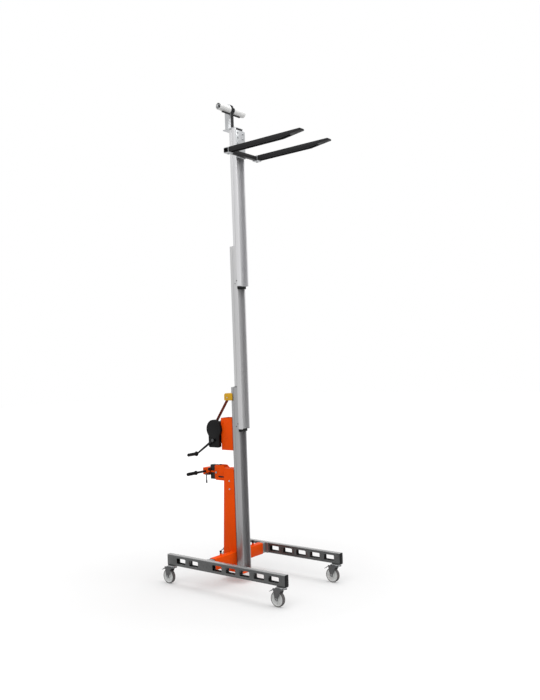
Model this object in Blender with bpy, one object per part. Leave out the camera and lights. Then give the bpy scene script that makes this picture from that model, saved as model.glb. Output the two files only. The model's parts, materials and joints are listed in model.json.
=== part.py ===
"""Manual material lift with a three-stage telescopic mast, hand winch and forks.

Metres, +Z up. The forks point towards -Y and the operator stands at +Y.
Every size is written in the frame of the front caster stems (their line is
y = 0, the floor is z = 0, the mast's middle plane is x = 0). The datum empty
then moves the whole machine so that the origin is at the middle of its
footprint on the floor.
"""

import math

import bmesh
import bpy
from mathutils import Matrix, Vector

# Gaps
SEAT = 0.0003
RUN = 0.0008
OVERCUT = 0.010
SEGMENTS = 24
SMALL_SEGMENTS = 16

# Casters
WHEEL_RADIUS = 0.0625
WHEEL_WIDTH = 0.030
WHEEL_RIM_RADIUS = 0.047
WHEEL_HUB_RADIUS = 0.017
WHEEL_WEB_RECESS = 0.006
WHEEL_SIDE_GAP = 0.0045
WHEEL_AXLE_RADIUS = 0.006
CASTER_TRAIL = 0.050
CASTER_SIDE_WALL = 0.0035
CASTER_CROWN = 0.004
CASTER_HEAD_RADIUS = 0.026
CASTER_HEAD_HEIGHT = 0.008
CASTER_CROWN_SKIRT = 0.010
CASTER_SHOULDER = 0.024
CASTER_CHEEK_HALF = 0.012
CASTER_CHEEK_FOOT = 0.008
CASTER_CHEEK_FRONT = 0.021
CASTER_CHEEK_REAR = 0.014
CASTER_PLATE = (0.060, 0.076)
CASTER_PLATE_THICKNESS = 0.005
PEDAL_WALL = 0.003
PEDAL_REACH = 0.093
PEDAL_DROP = 0.030
PEDAL_WIDTH = 0.034

# Legs
STEM_SPAN = 1.205
LEG_OVERHANG = 0.040
LEG_SPACING = 0.770
LEG_WIDTH = 0.044
LEG_HEIGHT = 0.093
LEG_WALL = 0.003
LEG_CORNER = 0.006
WINDOW_LENGTH = 0.104
WINDOW_HEIGHT = 0.046
WINDOW_CORNER = 0.006
WINDOW_PITCH = 0.149
FRONT_WINDOWS = 5
REAR_WINDOWS = 2
WINDOW_END = 0.111
REAR_WINDOW_SHIFT = 0.050
CAP_THICKNESS = 0.003
CAP_PLUG = 0.014

# Cross-beam and the stubs that plug the legs into it
BEAM_DEPTH = 0.060
BEAM_HEIGHT = 0.100
BEAM_WALL = 0.004
BEAM_END_GAP = 0.042
BEAM_CORNER = 0.006
BEAM_SETBACK = 0.005
STUB_INSERT = 0.145
STUB_WALL = 0.004
STUB_FLANGE = 0.006
STUB_FLANGE_RIM = 0.004
STUB_FLANGE_FRONT = 0.036
STUB_CORNER = 0.003
LOCK_INSET = 0.106
LOCK_PIN_RADIUS = 0.005
LOCK_BOSS_RADIUS = 0.010
LOCK_BOSS_HEIGHT = 0.018
LOCK_KNOB_RADIUS = 0.011
LOCK_KNOB_HEIGHT = 0.026
LOCK_REACH = 0.008

# Mast profiles
MAST_FRONT = 0.6825
MAST_WIDTH = 0.105
MAST_DEPTH = 0.075
STAGE_PITCH = 0.041
PROFILE_WALL = 0.004
CHANNEL_DEPTH = 0.0365
LIP = 0.0115
NECK_CLEARANCE = 0.002
NECK_LENGTH = 0.0075
FLANGE_CLEARANCE = 0.0025
CHAMBER_WALL = 0.004
SLOT_OFFSET = 0.025
SLOT_MOUTH = 0.008
SLOT_CAVITY = 0.016
SLOT_LIP = 0.003
SLOT_DEPTH = 0.009
OUTER_BOTTOM = 0.100
OUTER_LENGTH = 1.600
MIDDLE_OVERLAP = 0.365
MIDDLE_LENGTH = 1.585
INNER_OVERLAP = 0.349
INNER_LENGTH = 1.359
SHOE_HEIGHT = 0.022
SHOE_INSET = 0.001
SHOE_FRONT = 0.028
COLLAR_THICKNESS = 0.004
PAD_LENGTH = 0.110

# Foot plate and column
FOOT_THICKNESS = 0.008
FOOT_MARGIN = 0.022
COLUMN_HALF_WIDTH = 0.0505
COLUMN_WALL = 0.004
COLUMN_TOP = 0.985
COLUMN_TOP_DEPTH = 0.113
COLUMN_FOOT_DEPTH = 0.157

# Winch bracket, winch and crank
DRUM_ABOVE_COLUMN = 0.345
BRACKET_DROP = 0.182
BRACKET_HEIGHT = 0.282
BRACKET_DEPTH = 0.1302
BRACKET_WALL = 0.004
BRACKET_WIDTH = 0.105
DRUM_SETBACK = 0.0690
DRUM_CORE_RADIUS = 0.022
DRUM_FLANGE_RADIUS = 0.064
DRUM_FLANGE = 0.003
WOUND_RADIUS = 0.058
FRAME_HALF_WIDTH = 0.040
FRAME_WALL = 0.004
FRAME_RADIUS = 0.070
FRAME_LOBE = 0.026
DRUM_SHAFT_RADIUS = 0.010
GEAR_MODULE = 0.0025
GEAR_TEETH = 58
PINION_TEETH = 20
GEAR_WIDTH = 0.010
GEAR_SIDE_GAP = 0.0025
TOOTH_SHARE = 0.42
COVER_RADIUS = 0.084
COVER_DEPTH = 0.032
COVER_WALL = 0.003
COVER_LOWER_HALF_WIDTH = 0.062
COVER_BOTTOM_DROP = 0.162
PINION_SHAFT_RADIUS = 0.009
HUB_RADIUS = 0.015
HUB_LENGTH = 0.016
CRANK_LENGTH = 0.232
CRANK_ANGLE = 33.0
CRANK_WIDTH = 0.020
CRANK_THICKNESS = 0.008
GRIP_LENGTH = 0.112
GRIP_RADIUS = 0.0150
GRIP_PIN_RADIUS = 0.006
GRIP_COLLAR_RADIUS = 0.022
GRIP_COLLAR_LENGTH = 0.012

# Strap and its guide pulley
STRAP_WIDTH = 0.040
STRAP_THICKNESS = 0.0016
PULLEY_SETBACK = 0.040
PULLEY_DROP = 0.090
PULLEY_RADIUS = 0.024
PULLEY_FLANGE_RADIUS = 0.030
PULLEY_FLANGE = 0.003
PULLEY_PIN_RADIUS = 0.006
GUARD_WALL = 0.003
GUARD_MARGIN = 0.006
GUARD_WRAP = 0.018
GUARD_SKIRT = 0.75
GUARD_CORNER = 0.012
PULLEY_SHOULDER_RADIUS = 0.010
PULLEY_PIN_END = 0.004
STRAP_WINDOW_HEIGHT = 0.028
STRAP_BEND = 0.012

# Push handle
HANDLE_BRACKET_RISE = 0.023
HANDLE_BRACKET_DROP = 0.113
HANDLE_BRACKET_BEVEL = 0.028
HANDLE_BRACKET_HALF_WIDTH = 0.030
HANDLE_BRACKET_REAR = 0.018
HANDLE_BRACKET_CORNER = 0.012
HANDLE_WALL = 0.004
HANDLE_PIVOT_SETBACK = 0.2245
HANDLE_PIVOT_DROP = 0.045
HANDLE_SLOT_DROP = 0.036
HANDLE_SLOT_LENGTH = 0.066
HANDLE_SLOT_HEIGHT = 0.014
HANDLE_SLOT_SETBACK = 0.018
HANDLE_PIVOT_RADIUS = 0.006
HANDLE_ARM_HALF_WIDTH = 0.024
HANDLE_ARM_TOP = 0.066
HANDLE_ARM_BOTTOM = 0.062
HANDLE_ARM_FRONT = 0.016
HANDLE_ARM_CHAMFER = 0.030
HANDLE_ARM_REACH = 0.075
CLAMP_HALF_WIDTH = 0.040
CLAMP_HEIGHT = 0.064
CLAMP_CORNER = 0.006
CLAMP_DEPTH = 0.056
CLAMP_WALL = 0.005
HANDLEBAR_BEHIND_PIVOT = 0.125
HANDLEBAR_RISE = 0.005
HANDLEBAR_RADIUS = 0.010
HANDLEBAR_BORE = 0.0075
HANDLEBAR_HALF_LENGTH = 0.265
HANDLEBAR_GRIP_LENGTH = 0.110
HANDLEBAR_GRIP_RADIUS = 0.0150
HANDLEBAR_COLLAR_RADIUS = 0.020
GRIP_END = 0.003
LEVER_LENGTH = 0.082
LEVER_RADIUS = 0.0070
LEVER_STEM = 0.014
LEVER_SETBACK = 0.020
LEVER_DROP = 0.024

# Mast head with the loading rollers
HEAD_PLATE_THICKNESS = 0.006
HEAD_OVERHANG = 0.070
HEAD_POST_WIDTH = 0.040
HEAD_POST_WALL = 0.003
HEAD_POST_HEIGHT = 0.220
HEAD_POST_CORNER = 0.030
HEAD_POST_BEVEL = 0.012
HEAD_POST_INSET = 0.003
HEAD_CORNER = 0.006
HEAD_POST_DEPTH = 0.066
ROLLER_HEIGHT = 0.172
ROLLER_SETBACK = 0.012
ROLLER_RADIUS = 0.031
ROLLER_EDGE = 0.002
ROLLER_RECESS = 0.012
ROLLER_HUB_RECESS = 0.004
ROLLER_WALL = 0.006
ROLLER_HUB_RADIUS = 0.014
ROLLER_LENGTH = 0.146
ROLLER_SIDE_GAP = 0.004
ROLLER_AXLE_RADIUS = 0.007
ROLLER_NUT_RADIUS = 0.011
ROLLER_NUT = 0.007

# Carriage and forks
CARRIAGE_BOTTOM = 3.672
CARRIAGE_HEIGHT = 0.238
CARRIAGE_PLATE = 0.008
CARRIAGE_GAP = 0.004
SLIDER_LENGTH = 0.142
SLIDER_HEIGHT = 0.045
SLIDER_RIM = 0.0004
CARRIAGE_PLATE_HALF_WIDTH = 0.060
CROSSBAR_HALF_LENGTH = 0.225
CROSSBAR_DEPTH = 0.040
CROSSBAR_HEIGHT = 0.034
CROSSBAR_WALL = 0.004
FORK_SPACING = 0.380
FORK_WIDTH = 0.050
FORK_RISE = 0.048
FORK_THICKNESS = 0.040
FORK_TIP_THICKNESS = 0.016
FORK_WALL = 0.004
FORK_LENGTH = 0.748
FORK_TAPER = 0.200
SLEEVE_WALL = 0.006
SLEEVE_RIM = 0.004

# Places worked out from the sizes above
LEG_BOTTOM = 0.168
LEG_TOP = LEG_BOTTOM + LEG_HEIGHT
MAST_HALF = MAST_WIDTH / 2
MAST_REAR = MAST_FRONT + MAST_DEPTH
OUTER_TOP = OUTER_BOTTOM + OUTER_LENGTH
MIDDLE_BOTTOM = OUTER_TOP - MIDDLE_OVERLAP
INNER_BOTTOM = MIDDLE_BOTTOM + MIDDLE_LENGTH - INNER_OVERLAP
INNER_TOP = INNER_BOTTOM + INNER_LENGTH
MIDDLE_FRONT = MAST_FRONT - STAGE_PITCH
INNER_FRONT = MIDDLE_FRONT - STAGE_PITCH
CHANNEL_HALF = MAST_HALF - PROFILE_WALL
LIP_OPENING = MAST_HALF - LIP
NECK_HALF = LIP_OPENING - NECK_CLEARANCE
FLANGE_HALF = CHANNEL_HALF - FLANGE_CLEARANCE
WEB_REAR = CHANNEL_DEPTH + PROFILE_WALL
FLANGE_FRONT = WEB_REAR + NECK_LENGTH
BEAM_FRONT = MAST_REAR + BEAM_SETBACK
BEAM_REAR = BEAM_FRONT + BEAM_DEPTH
BEAM_MIDDLE = (BEAM_FRONT + BEAM_REAR) / 2
BEAM_TOP = LEG_TOP + 0.002
BEAM_BOTTOM = BEAM_TOP - BEAM_HEIGHT
LEG_INNER = (LEG_SPACING - LEG_WIDTH) / 2
BEAM_HALF_LENGTH = LEG_INNER - BEAM_END_GAP
LOCK_OFFSET = BEAM_HALF_LENGTH - LOCK_INSET
COLUMN_FRONT = MAST_REAR + SEAT
DRUM_HEIGHT = COLUMN_TOP + DRUM_ABOVE_COLUMN
BRACKET_BOTTOM = DRUM_HEIGHT - BRACKET_DROP
BRACKET_FRONT = MAST_REAR + SEAT
BRACKET_REAR = BRACKET_FRONT + BRACKET_DEPTH
FRAME_FRONT = BRACKET_REAR + SEAT
DRUM_Y = BRACKET_REAR + DRUM_SETBACK
GEAR_RADIUS = GEAR_MODULE * GEAR_TEETH / 2
PINION_RADIUS = GEAR_MODULE * PINION_TEETH / 2
PINION_Y = DRUM_Y
PINION_Z = DRUM_HEIGHT - GEAR_RADIUS - PINION_RADIUS
FRAME_OUTER = FRAME_HALF_WIDTH + FRAME_WALL
FRAME_LOW = PINION_Z - FRAME_LOBE
FRAME_HIGH = DRUM_HEIGHT + FRAME_RADIUS
COVER_INNER_X = -FRAME_OUTER - SEAT
COVER_OUTER_X = COVER_INNER_X - COVER_DEPTH
GEAR_NEAR_X = -BRACKET_WIDTH / 2 - GEAR_SIDE_GAP - GEAR_WIDTH
HUB_X = COVER_OUTER_X - RUN
CRANK_X = HUB_X - HUB_LENGTH + CRANK_THICKNESS / 2
GRIP_Y = PINION_Y + CRANK_LENGTH * math.cos(math.radians(CRANK_ANGLE))
GRIP_Z = PINION_Z - CRANK_LENGTH * math.sin(math.radians(CRANK_ANGLE))
PULLEY_Y = MAST_REAR + PULLEY_SETBACK
PULLEY_Z = OUTER_TOP - PULLEY_DROP
PULLEY_HALF_WIDTH = STRAP_WIDTH / 2 + RUN + PULLEY_FLANGE
GUARD_HALF_WIDTH = MAST_HALF + SEAT + GUARD_WALL
HANDLE_Y = MAST_REAR + HANDLE_PIVOT_SETBACK
HANDLE_BRACKET_BOTTOM = COLUMN_TOP - HANDLE_BRACKET_DROP
HANDLE_BRACKET_TOP = COLUMN_TOP + HANDLE_BRACKET_RISE
HANDLE_PIVOT_HEIGHT = COLUMN_TOP - HANDLE_PIVOT_DROP
HANDLEBAR_Y = HANDLE_Y + HANDLEBAR_BEHIND_PIVOT
HANDLEBAR_Z = HANDLE_PIVOT_HEIGHT + HANDLEBAR_RISE
LEVER_X = -CLAMP_HALF_WIDTH
LEVER_Y = HANDLEBAR_Y - LEVER_SETBACK
LEVER_Z = HANDLEBAR_Z - LEVER_DROP
HEAD_BOTTOM = INNER_TOP + SEAT
HEAD_PLATE_TOP = HEAD_BOTTOM + HEAD_PLATE_THICKNESS
INNER_REAR = INNER_FRONT + MAST_DEPTH
ROLLER_Y = INNER_REAR + ROLLER_SETBACK
ROLLER_Z = HEAD_PLATE_TOP + ROLLER_HEIGHT
CARRIAGE_REAR = INNER_FRONT - CARRIAGE_GAP
CARRIAGE_FRONT = CARRIAGE_REAR - CARRIAGE_PLATE
CROSSBAR_REAR = CARRIAGE_FRONT - SEAT
CROSSBAR_FRONT = CROSSBAR_REAR - CROSSBAR_DEPTH
FORK_TOP = CARRIAGE_BOTTOM + FORK_RISE
CROSSBAR_TOP = FORK_TOP - SLEEVE_WALL - SEAT
CROSSBAR_BOTTOM = CROSSBAR_TOP - CROSSBAR_HEIGHT
FORK_HEEL = CROSSBAR_FRONT - SEAT
FORK_TIP = FORK_HEEL - FORK_LENGTH
CASTER_CROWN_TOP = LEG_BOTTOM - CASTER_PLATE_THICKNESS - SEAT - CASTER_HEAD_HEIGHT
PEDAL_PIVOT_Y = 0.030
PEDAL_PIVOT_Z = WHEEL_RADIUS + WHEEL_RADIUS + 0.015
REAR_END = STEM_SPAN + PEDAL_PIVOT_Y + PEDAL_REACH + PEDAL_WALL
SIDES = {"right": -1, "left": 1}
CORNERS = {
    "front_right": (-1, 0.0),
    "front_left": (1, 0.0),
    "rear_right": (-1, STEM_SPAN),
    "rear_left": (1, STEM_SPAN),
}

PAINT = {
    "orange_paint": ((0.72, 0.075, 0.005), 0.42, 0.0),
    "galvanised": ((0.115, 0.125, 0.120), 0.45, 0.85),
    "zinc": ((0.42, 0.43, 0.44), 0.35, 0.9),
    "aluminium": ((0.42, 0.42, 0.43), 0.38, 0.9),
    "black_plastic": ((0.012, 0.012, 0.014), 0.45, 0.0),
    "black_steel": ((0.020, 0.020, 0.022), 0.40, 0.4),
    "strap_webbing": ((0.13, 0.022, 0.012), 0.85, 0.0),
    "yellow_paint": ((0.62, 0.34, 0.02), 0.45, 0.0),
    "wheel": ((0.42, 0.40, 0.39), 0.60, 0.0),
    "roller": ((0.70, 0.70, 0.68), 0.50, 0.0),
}

PIVOTS = {}


def clear_scene():
    for obj in list(bpy.data.objects):
        bpy.data.objects.remove(obj, do_unlink=True)


def get_material(name):
    found = bpy.data.materials.get(name)
    if found:
        return found
    colour, roughness, metallic = PAINT[name]
    made = bpy.data.materials.new(name)
    made.use_nodes = True
    shader = made.node_tree.nodes["Principled BSDF"]
    shader.inputs["Base Color"].default_value = (*colour, 1.0)
    shader.inputs["Roughness"].default_value = roughness
    shader.inputs["Metallic"].default_value = metallic
    return made


def add_pivot(name, at, parent="datum"):
    """Empty that carries a body; `at` is in the caster-stem frame."""
    empty = bpy.data.objects.new(name, None)
    bpy.context.collection.objects.link(empty)
    place = Vector(at)
    if parent in PIVOTS:
        empty.parent = bpy.data.objects[parent]
        empty.location = place - PIVOTS[parent]
    else:
        empty.location = place
    PIVOTS[name] = place if parent in PIVOTS else Vector((0.0, 0.0, 0.0))
    return empty


def add_object(name, bm, material, pivot="datum", smooth=False):
    """Turn a bmesh in the caster-stem frame into a named object on a pivot."""
    bmesh.ops.recalc_face_normals(bm, faces=bm.faces)
    bmesh.ops.translate(bm, verts=bm.verts, vec=-PIVOTS[pivot])
    mesh = bpy.data.meshes.new(name)
    bm.to_mesh(mesh)
    bm.free()
    obj = bpy.data.objects.new(name, mesh)
    bpy.context.collection.objects.link(obj)
    obj.parent = bpy.data.objects[pivot]
    if material:
        mesh.materials.append(get_material(material))
    if smooth:
        mesh.shade_smooth()
        mesh.set_sharp_from_angle(angle=math.radians(35))
    return obj


def combine(target, bm, operation, pivot="datum"):
    """Cut or join a guide shape, in the caster-stem frame, with the target."""
    guide = add_object(f"{target.name}_guide", bm, None, pivot)
    guide.hide_render = True
    guide.display_type = "WIRE"
    step = target.modifiers.new(operation.lower(), "BOOLEAN")
    step.operation = operation
    step.solver = "EXACT"
    step.object = guide


def cut(target, bm, pivot="datum"):
    combine(target, bm, "DIFFERENCE", pivot)


def fuse(target, bm, pivot="datum"):
    combine(target, bm, "UNION", pivot)


def spread(axis, along, first, second):
    """Point from its distance along an axis and its two other coordinates."""
    if axis == "X":
        return Vector((along, first, second))
    if axis == "Y":
        return Vector((first, along, second))
    return Vector((first, second, along))


def add_prism(bm, outline, low, high, axis):
    """Extrude a closed outline along an axis, from low to high."""
    corners = [bm.verts.new(spread(axis, low, a, b)) for a, b in outline]
    face = bm.faces.new(corners)
    grown = bmesh.ops.extrude_face_region(bm, geom=[face])
    moved = [item for item in grown["geom"] if isinstance(item, bmesh.types.BMVert)]
    bmesh.ops.translate(bm, verts=moved, vec=spread(axis, high - low, 0.0, 0.0))
    return bm


def prism(outline, low, high, axis):
    return add_prism(bmesh.new(), outline, low, high, axis)


def add_box(bm, x, y, z):
    corners = [(x[0], y[0]), (x[1], y[0]), (x[1], y[1]), (x[0], y[1])]
    return add_prism(bm, corners, z[0], z[1], "Z")


def box(x, y, z):
    return add_box(bmesh.new(), x, y, z)


def rounded_rectangle(first, second, radius, steps=3):
    """Outline of a rectangle between two (low, high) pairs with round corners."""
    corners = (
        (first[1] - radius, second[1] - radius, 0),
        (first[0] + radius, second[1] - radius, 90),
        (first[0] + radius, second[0] + radius, 180),
        (first[1] - radius, second[0] + radius, 270),
    )
    points = []
    for a, b, start in corners:
        for step in range(steps + 1):
            turn = math.radians(start + 90 * step / steps)
            points.append((a + radius * math.cos(turn), b + radius * math.sin(turn)))
    return points


def circle(centre, radius, segments):
    points = []
    for step in range(segments):
        turn = 2 * math.pi * (step + 0.5) / segments
        points.append((centre[0] + radius * math.cos(turn), centre[1] + radius * math.sin(turn)))
    return points


def add_turned(bm, profile, centre, axis, segments):
    """Revolve a closed (along, radius) profile about an axis through centre."""
    closed_ring = profile[0][1] > 0
    rings = []
    for along, radius in profile:
        if radius == 0:
            rings.append([bm.verts.new(spread(axis, along, *centre))])
            continue
        ring = []
        for a, b in circle(centre, radius, segments):
            ring.append(bm.verts.new(spread(axis, along, a, b)))
        rings.append(ring)
    pairs = list(zip(rings, rings[1:]))
    if closed_ring:
        pairs.append((rings[-1], rings[0]))
    for low, high in pairs:
        for step in range(segments):
            after = (step + 1) % segments
            face = [low[step % len(low)], low[after % len(low)]]
            face += [high[after % len(high)], high[step % len(high)]]
            corners = list(dict.fromkeys(face))
            if len(corners) > 2:
                bm.faces.new(corners)
    return bm


def turned(profile, centre, axis, segments=SEGMENTS):
    return add_turned(bmesh.new(), profile, centre, axis, segments)


def rod_profile(low, high, radius):
    return [(low, 0), (low, radius), (high, radius), (high, 0)]


def rod(low, high, radius, centre, axis, segments=SMALL_SEGMENTS):
    return turned(rod_profile(low, high, radius), centre, axis, segments)


def ring_profile(low, high, inner, outer):
    return [(low, inner), (low, outer), (high, outer), (high, inner)]


def mast_outline(front):
    """Mast profile in plan: front channel with lips, neck and rear flange."""
    half = [
        (LIP_OPENING, PROFILE_WALL),
        (LIP_OPENING, 0.0),
        (MAST_HALF, 0.0),
        (MAST_HALF, WEB_REAR),
        (NECK_HALF, WEB_REAR),
        (NECK_HALF, FLANGE_FRONT),
        (FLANGE_HALF, FLANGE_FRONT),
        (FLANGE_HALF, MAST_DEPTH),
        (SLOT_OFFSET + SLOT_MOUTH / 2, MAST_DEPTH),
        (SLOT_OFFSET + SLOT_MOUTH / 2, MAST_DEPTH - SLOT_LIP),
        (SLOT_OFFSET + SLOT_CAVITY / 2, MAST_DEPTH - SLOT_LIP),
        (SLOT_OFFSET + SLOT_CAVITY / 2, MAST_DEPTH - SLOT_DEPTH),
        (SLOT_OFFSET - SLOT_CAVITY / 2, MAST_DEPTH - SLOT_DEPTH),
        (SLOT_OFFSET - SLOT_CAVITY / 2, MAST_DEPTH - SLOT_LIP),
        (SLOT_OFFSET - SLOT_MOUTH / 2, MAST_DEPTH - SLOT_LIP),
        (SLOT_OFFSET - SLOT_MOUTH / 2, MAST_DEPTH),
    ]
    inside = [
        (CHANNEL_HALF, CHANNEL_DEPTH),
        (CHANNEL_HALF, PROFILE_WALL),
    ]
    right = half
    left = [(-x, y) for x, y in reversed(half)]
    channel = [(-x, y) for x, y in reversed(inside)] + inside
    return [(x, y + front) for x, y in right + left + channel]


def mast_chambers(front, bottom, top):
    """Hollow chambers of the rear flange, one on each side of its middle web."""
    bm = bmesh.new()
    low = front + FLANGE_FRONT + CHAMBER_WALL
    high = front + MAST_DEPTH - SLOT_DEPTH - CHAMBER_WALL / 2
    for side in (-1, 1):
        inner = side * CHAMBER_WALL / 2
        outer = side * (FLANGE_HALF - CHAMBER_WALL)
        x = (min(inner, outer), max(inner, outer))
        add_box(bm, x, (low, high), (bottom - OVERCUT, top + OVERCUT))
    return bm


def build_mast_profile(name, front, bottom, length, pivot):
    top = bottom + length
    profile = add_object(name, prism(mast_outline(front), bottom, top, "Z"), "aluminium", pivot)
    cut(profile, mast_chambers(front, bottom, top), pivot)
    return profile


def build_shoe(name, front, bottom, pivot):
    """Plastic shoe that closes a moving profile's foot and rides in the channel."""
    high = bottom - SEAT
    low = high - SHOE_HEIGHT
    half = MAST_HALF - SHOE_INSET
    neck = NECK_HALF - SHOE_INSET
    flange = FLANGE_HALF + FLANGE_CLEARANCE / 2
    web = WEB_REAR - SHOE_INSET
    side = [
        (half, SHOE_FRONT),
        (half, web),
        (neck, web),
        (neck, FLANGE_FRONT),
        (flange, FLANGE_FRONT),
        (flange, MAST_DEPTH - SHOE_INSET),
    ]
    outline = side + [(-x, y) for x, y in reversed(side)]
    outline = [(x, y + front) for x, y in outline]
    add_object(name, prism(outline, low, high, "Z"), "black_plastic", pivot)


def build_collar():
    """Slide collar on the outer profile's mouth, with pads down its channel."""
    high = OUTER_TOP + SEAT + COLLAR_THICKNESS
    half = MAST_HALF - SHOE_INSET
    inner = FLANGE_HALF + RUN / 2
    front = MAST_FRONT + PROFILE_WALL + RUN
    flange_rear = MIDDLE_FRONT + MAST_DEPTH + RUN / 2
    rear = MAST_FRONT + WEB_REAR - SHOE_INSET
    side = [(half, rear), (half, front), (inner, front), (inner, flange_rear)]
    outline = side + [(-x, y) for x, y in reversed(side)]
    collar = add_object("mast_outer_collar", prism(outline, OUTER_TOP + SEAT, high, "Z"), "black_plastic")
    low = OUTER_TOP - PAD_LENGTH
    pad_y = (front, MAST_FRONT + CHANNEL_DEPTH - SEAT)
    for sign in SIDES.values():
        pad_x = ordered(sign * inner, sign * (CHANNEL_HALF - SEAT))
        fuse(collar, box(pad_x, pad_y, (low, high - COLLAR_THICKNESS / 2)))


def build_mast():
    outer = build_mast_profile("mast_outer", MAST_FRONT, OUTER_BOTTOM, OUTER_LENGTH, "datum")
    low = PULLEY_Z + PULLEY_RADIUS - STRAP_WINDOW_HEIGHT / 2
    half = STRAP_WIDTH / 2 + RUN
    window_y = (MAST_FRONT + CHANNEL_DEPTH - OVERCUT / 2, MAST_REAR + OVERCUT)
    cut(outer, box((-half, half), window_y, (low, low + STRAP_WINDOW_HEIGHT)))
    build_collar()
    build_mast_profile("mast_middle", MIDDLE_FRONT, MIDDLE_BOTTOM, MIDDLE_LENGTH, "middle_slide")
    build_shoe("mast_middle_shoe", MIDDLE_FRONT, MIDDLE_BOTTOM, "middle_slide")
    build_mast_profile("mast_inner", INNER_FRONT, INNER_BOTTOM, INNER_LENGTH, "inner_slide")
    build_shoe("mast_inner_shoe", INNER_FRONT, INNER_BOTTOM, "inner_slide")


def leg_windows():
    """Middles of a leg's windows along Y, behind each end of the leg."""
    last = STEM_SPAN + LEG_OVERHANG - WINDOW_END - REAR_WINDOW_SHIFT
    rear = [last - WINDOW_PITCH * n for n in range(REAR_WINDOWS)]
    first = WINDOW_END - LEG_OVERHANG
    room = int((rear[-1] - first) / WINDOW_PITCH)
    front = [first + WINDOW_PITCH * n for n in range(min(FRONT_WINDOWS, room))]
    return front + rear


def build_leg(side_name):
    """Windowed tube with the casters' top plates welded under its ends."""
    side = SIDES[side_name]
    middle = side * LEG_SPACING / 2
    x = (middle - LEG_WIDTH / 2, middle + LEG_WIDTH / 2)
    z = (LEG_BOTTOM, LEG_TOP)
    y = (-LEG_OVERHANG, STEM_SPAN + LEG_OVERHANG)
    leg = add_object(
        f"leg_{side_name}",
        prism(rounded_rectangle(x, z, LEG_CORNER), y[0], y[1], "Y"),
        "galvanised",
    )
    for stem in (0.0, STEM_SPAN):
        plate_x = (middle - CASTER_PLATE[0] / 2, middle + CASTER_PLATE[0] / 2)
        plate_y = (stem - CASTER_PLATE[1] / 2, stem + CASTER_PLATE[1] / 2)
        plate = rounded_rectangle(plate_x, plate_y, 0.006)
        fuse(leg, prism(plate, LEG_BOTTOM - CASTER_PLATE_THICKNESS, LEG_BOTTOM + LEG_WALL / 2, "Z"))
    inner_x = (x[0] + LEG_WALL, x[1] - LEG_WALL)
    inner_z = (z[0] + LEG_WALL, z[1] - LEG_WALL)
    bore = rounded_rectangle(inner_x, inner_z, LEG_CORNER - LEG_WALL)
    cut(leg, prism(bore, y[0] - OVERCUT, y[1] + OVERCUT, "Y"))
    windows = bmesh.new()
    centre_z = (LEG_BOTTOM + LEG_TOP) / 2
    window_z = (centre_z - WINDOW_HEIGHT / 2, centre_z + WINDOW_HEIGHT / 2)
    for centre in leg_windows():
        window_y = (centre - WINDOW_LENGTH / 2, centre + WINDOW_LENGTH / 2)
        outline = rounded_rectangle(window_y, window_z, WINDOW_CORNER, 2)
        add_prism(windows, outline, x[0] - OVERCUT, x[1] + OVERCUT, "X")
    cut(leg, windows)


def build_cap(name, x, z, end, outward):
    """Plastic end cap: a cover plate and a plug, as one stepped shape."""
    bm = bmesh.new()
    plate = rounded_rectangle(x, z, LEG_CORNER)
    inset = LEG_WALL + SEAT
    plug_x = (x[0] + inset, x[1] - inset)
    plug_z = (z[0] + inset, z[1] - inset)
    plug = rounded_rectangle(plug_x, plug_z, LEG_CORNER - LEG_WALL)
    face = end + outward * SEAT
    stations = [
        (plate, face + outward * CAP_THICKNESS),
        (plate, face),
        (plug, face),
        (plug, face - outward * CAP_PLUG),
    ]
    rings = []
    for outline, along in stations:
        rings.append([bm.verts.new(Vector((a, along, b))) for a, b in outline])
    for low, high in zip(rings, rings[1:]):
        count = len(low)
        for step in range(count):
            after = (step + 1) % count
            bm.faces.new((low[step], low[after], high[after], high[step]))
    bm.faces.new(rings[0])
    bm.faces.new(rings[-1])
    add_object(name, bm, "black_plastic")


def build_leg_caps(side_name):
    middle = SIDES[side_name] * LEG_SPACING / 2
    x = (middle - LEG_WIDTH / 2, middle + LEG_WIDTH / 2)
    z = (LEG_BOTTOM, LEG_TOP)
    build_cap(f"leg_cap_front_{side_name}", x, z, -LEG_OVERHANG, -1)
    build_cap(f"leg_cap_rear_{side_name}", x, z, STEM_SPAN + LEG_OVERHANG, 1)


def ordered(first, second):
    return (min(first, second), max(first, second))


def build_stub(side_name):
    """Rectangular stub on the leg's inner face that plugs into the cross-beam."""
    side = SIDES[side_name]
    inset = BEAM_WALL + SEAT
    y = (BEAM_FRONT + inset, BEAM_REAR - inset)
    z = (BEAM_BOTTOM + inset, BEAM_TOP - inset)
    flange_face = side * (LEG_INNER - SEAT)
    tip = side * (BEAM_HALF_LENGTH - STUB_INSERT)
    stub = add_object(
        f"leg_stub_{side_name}",
        prism(rounded_rectangle(y, z, STUB_CORNER), *ordered(tip, flange_face), "X"),
        "zinc",
    )
    flange_y = (y[0] - STUB_FLANGE_FRONT, y[1] + STUB_FLANGE_RIM)
    flange_z = (max(z[0] - STUB_FLANGE_RIM, LEG_BOTTOM), min(z[1] + STUB_FLANGE_RIM, LEG_TOP))
    flange_x = ordered(side * (LEG_INNER - SEAT - STUB_FLANGE), flange_face)
    fuse(stub, prism(rounded_rectangle(flange_y, flange_z, STUB_CORNER), *flange_x, "X"))
    bore_x = ordered(tip - side * OVERCUT, side * (LEG_INNER - SEAT - STUB_FLANGE / 2))
    bore_y = (y[0] + STUB_WALL, y[1] - STUB_WALL)
    bore_z = (z[0] + STUB_WALL, z[1] - STUB_WALL)
    cut(stub, box(bore_x, bore_y, bore_z))
    hole_z = (z[1] - STUB_WALL - OVERCUT, z[1] + OVERCUT)
    hole = rod(*hole_z, LOCK_PIN_RADIUS + RUN, (side * LOCK_OFFSET, BEAM_MIDDLE), "Z")
    cut(stub, hole)


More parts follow.
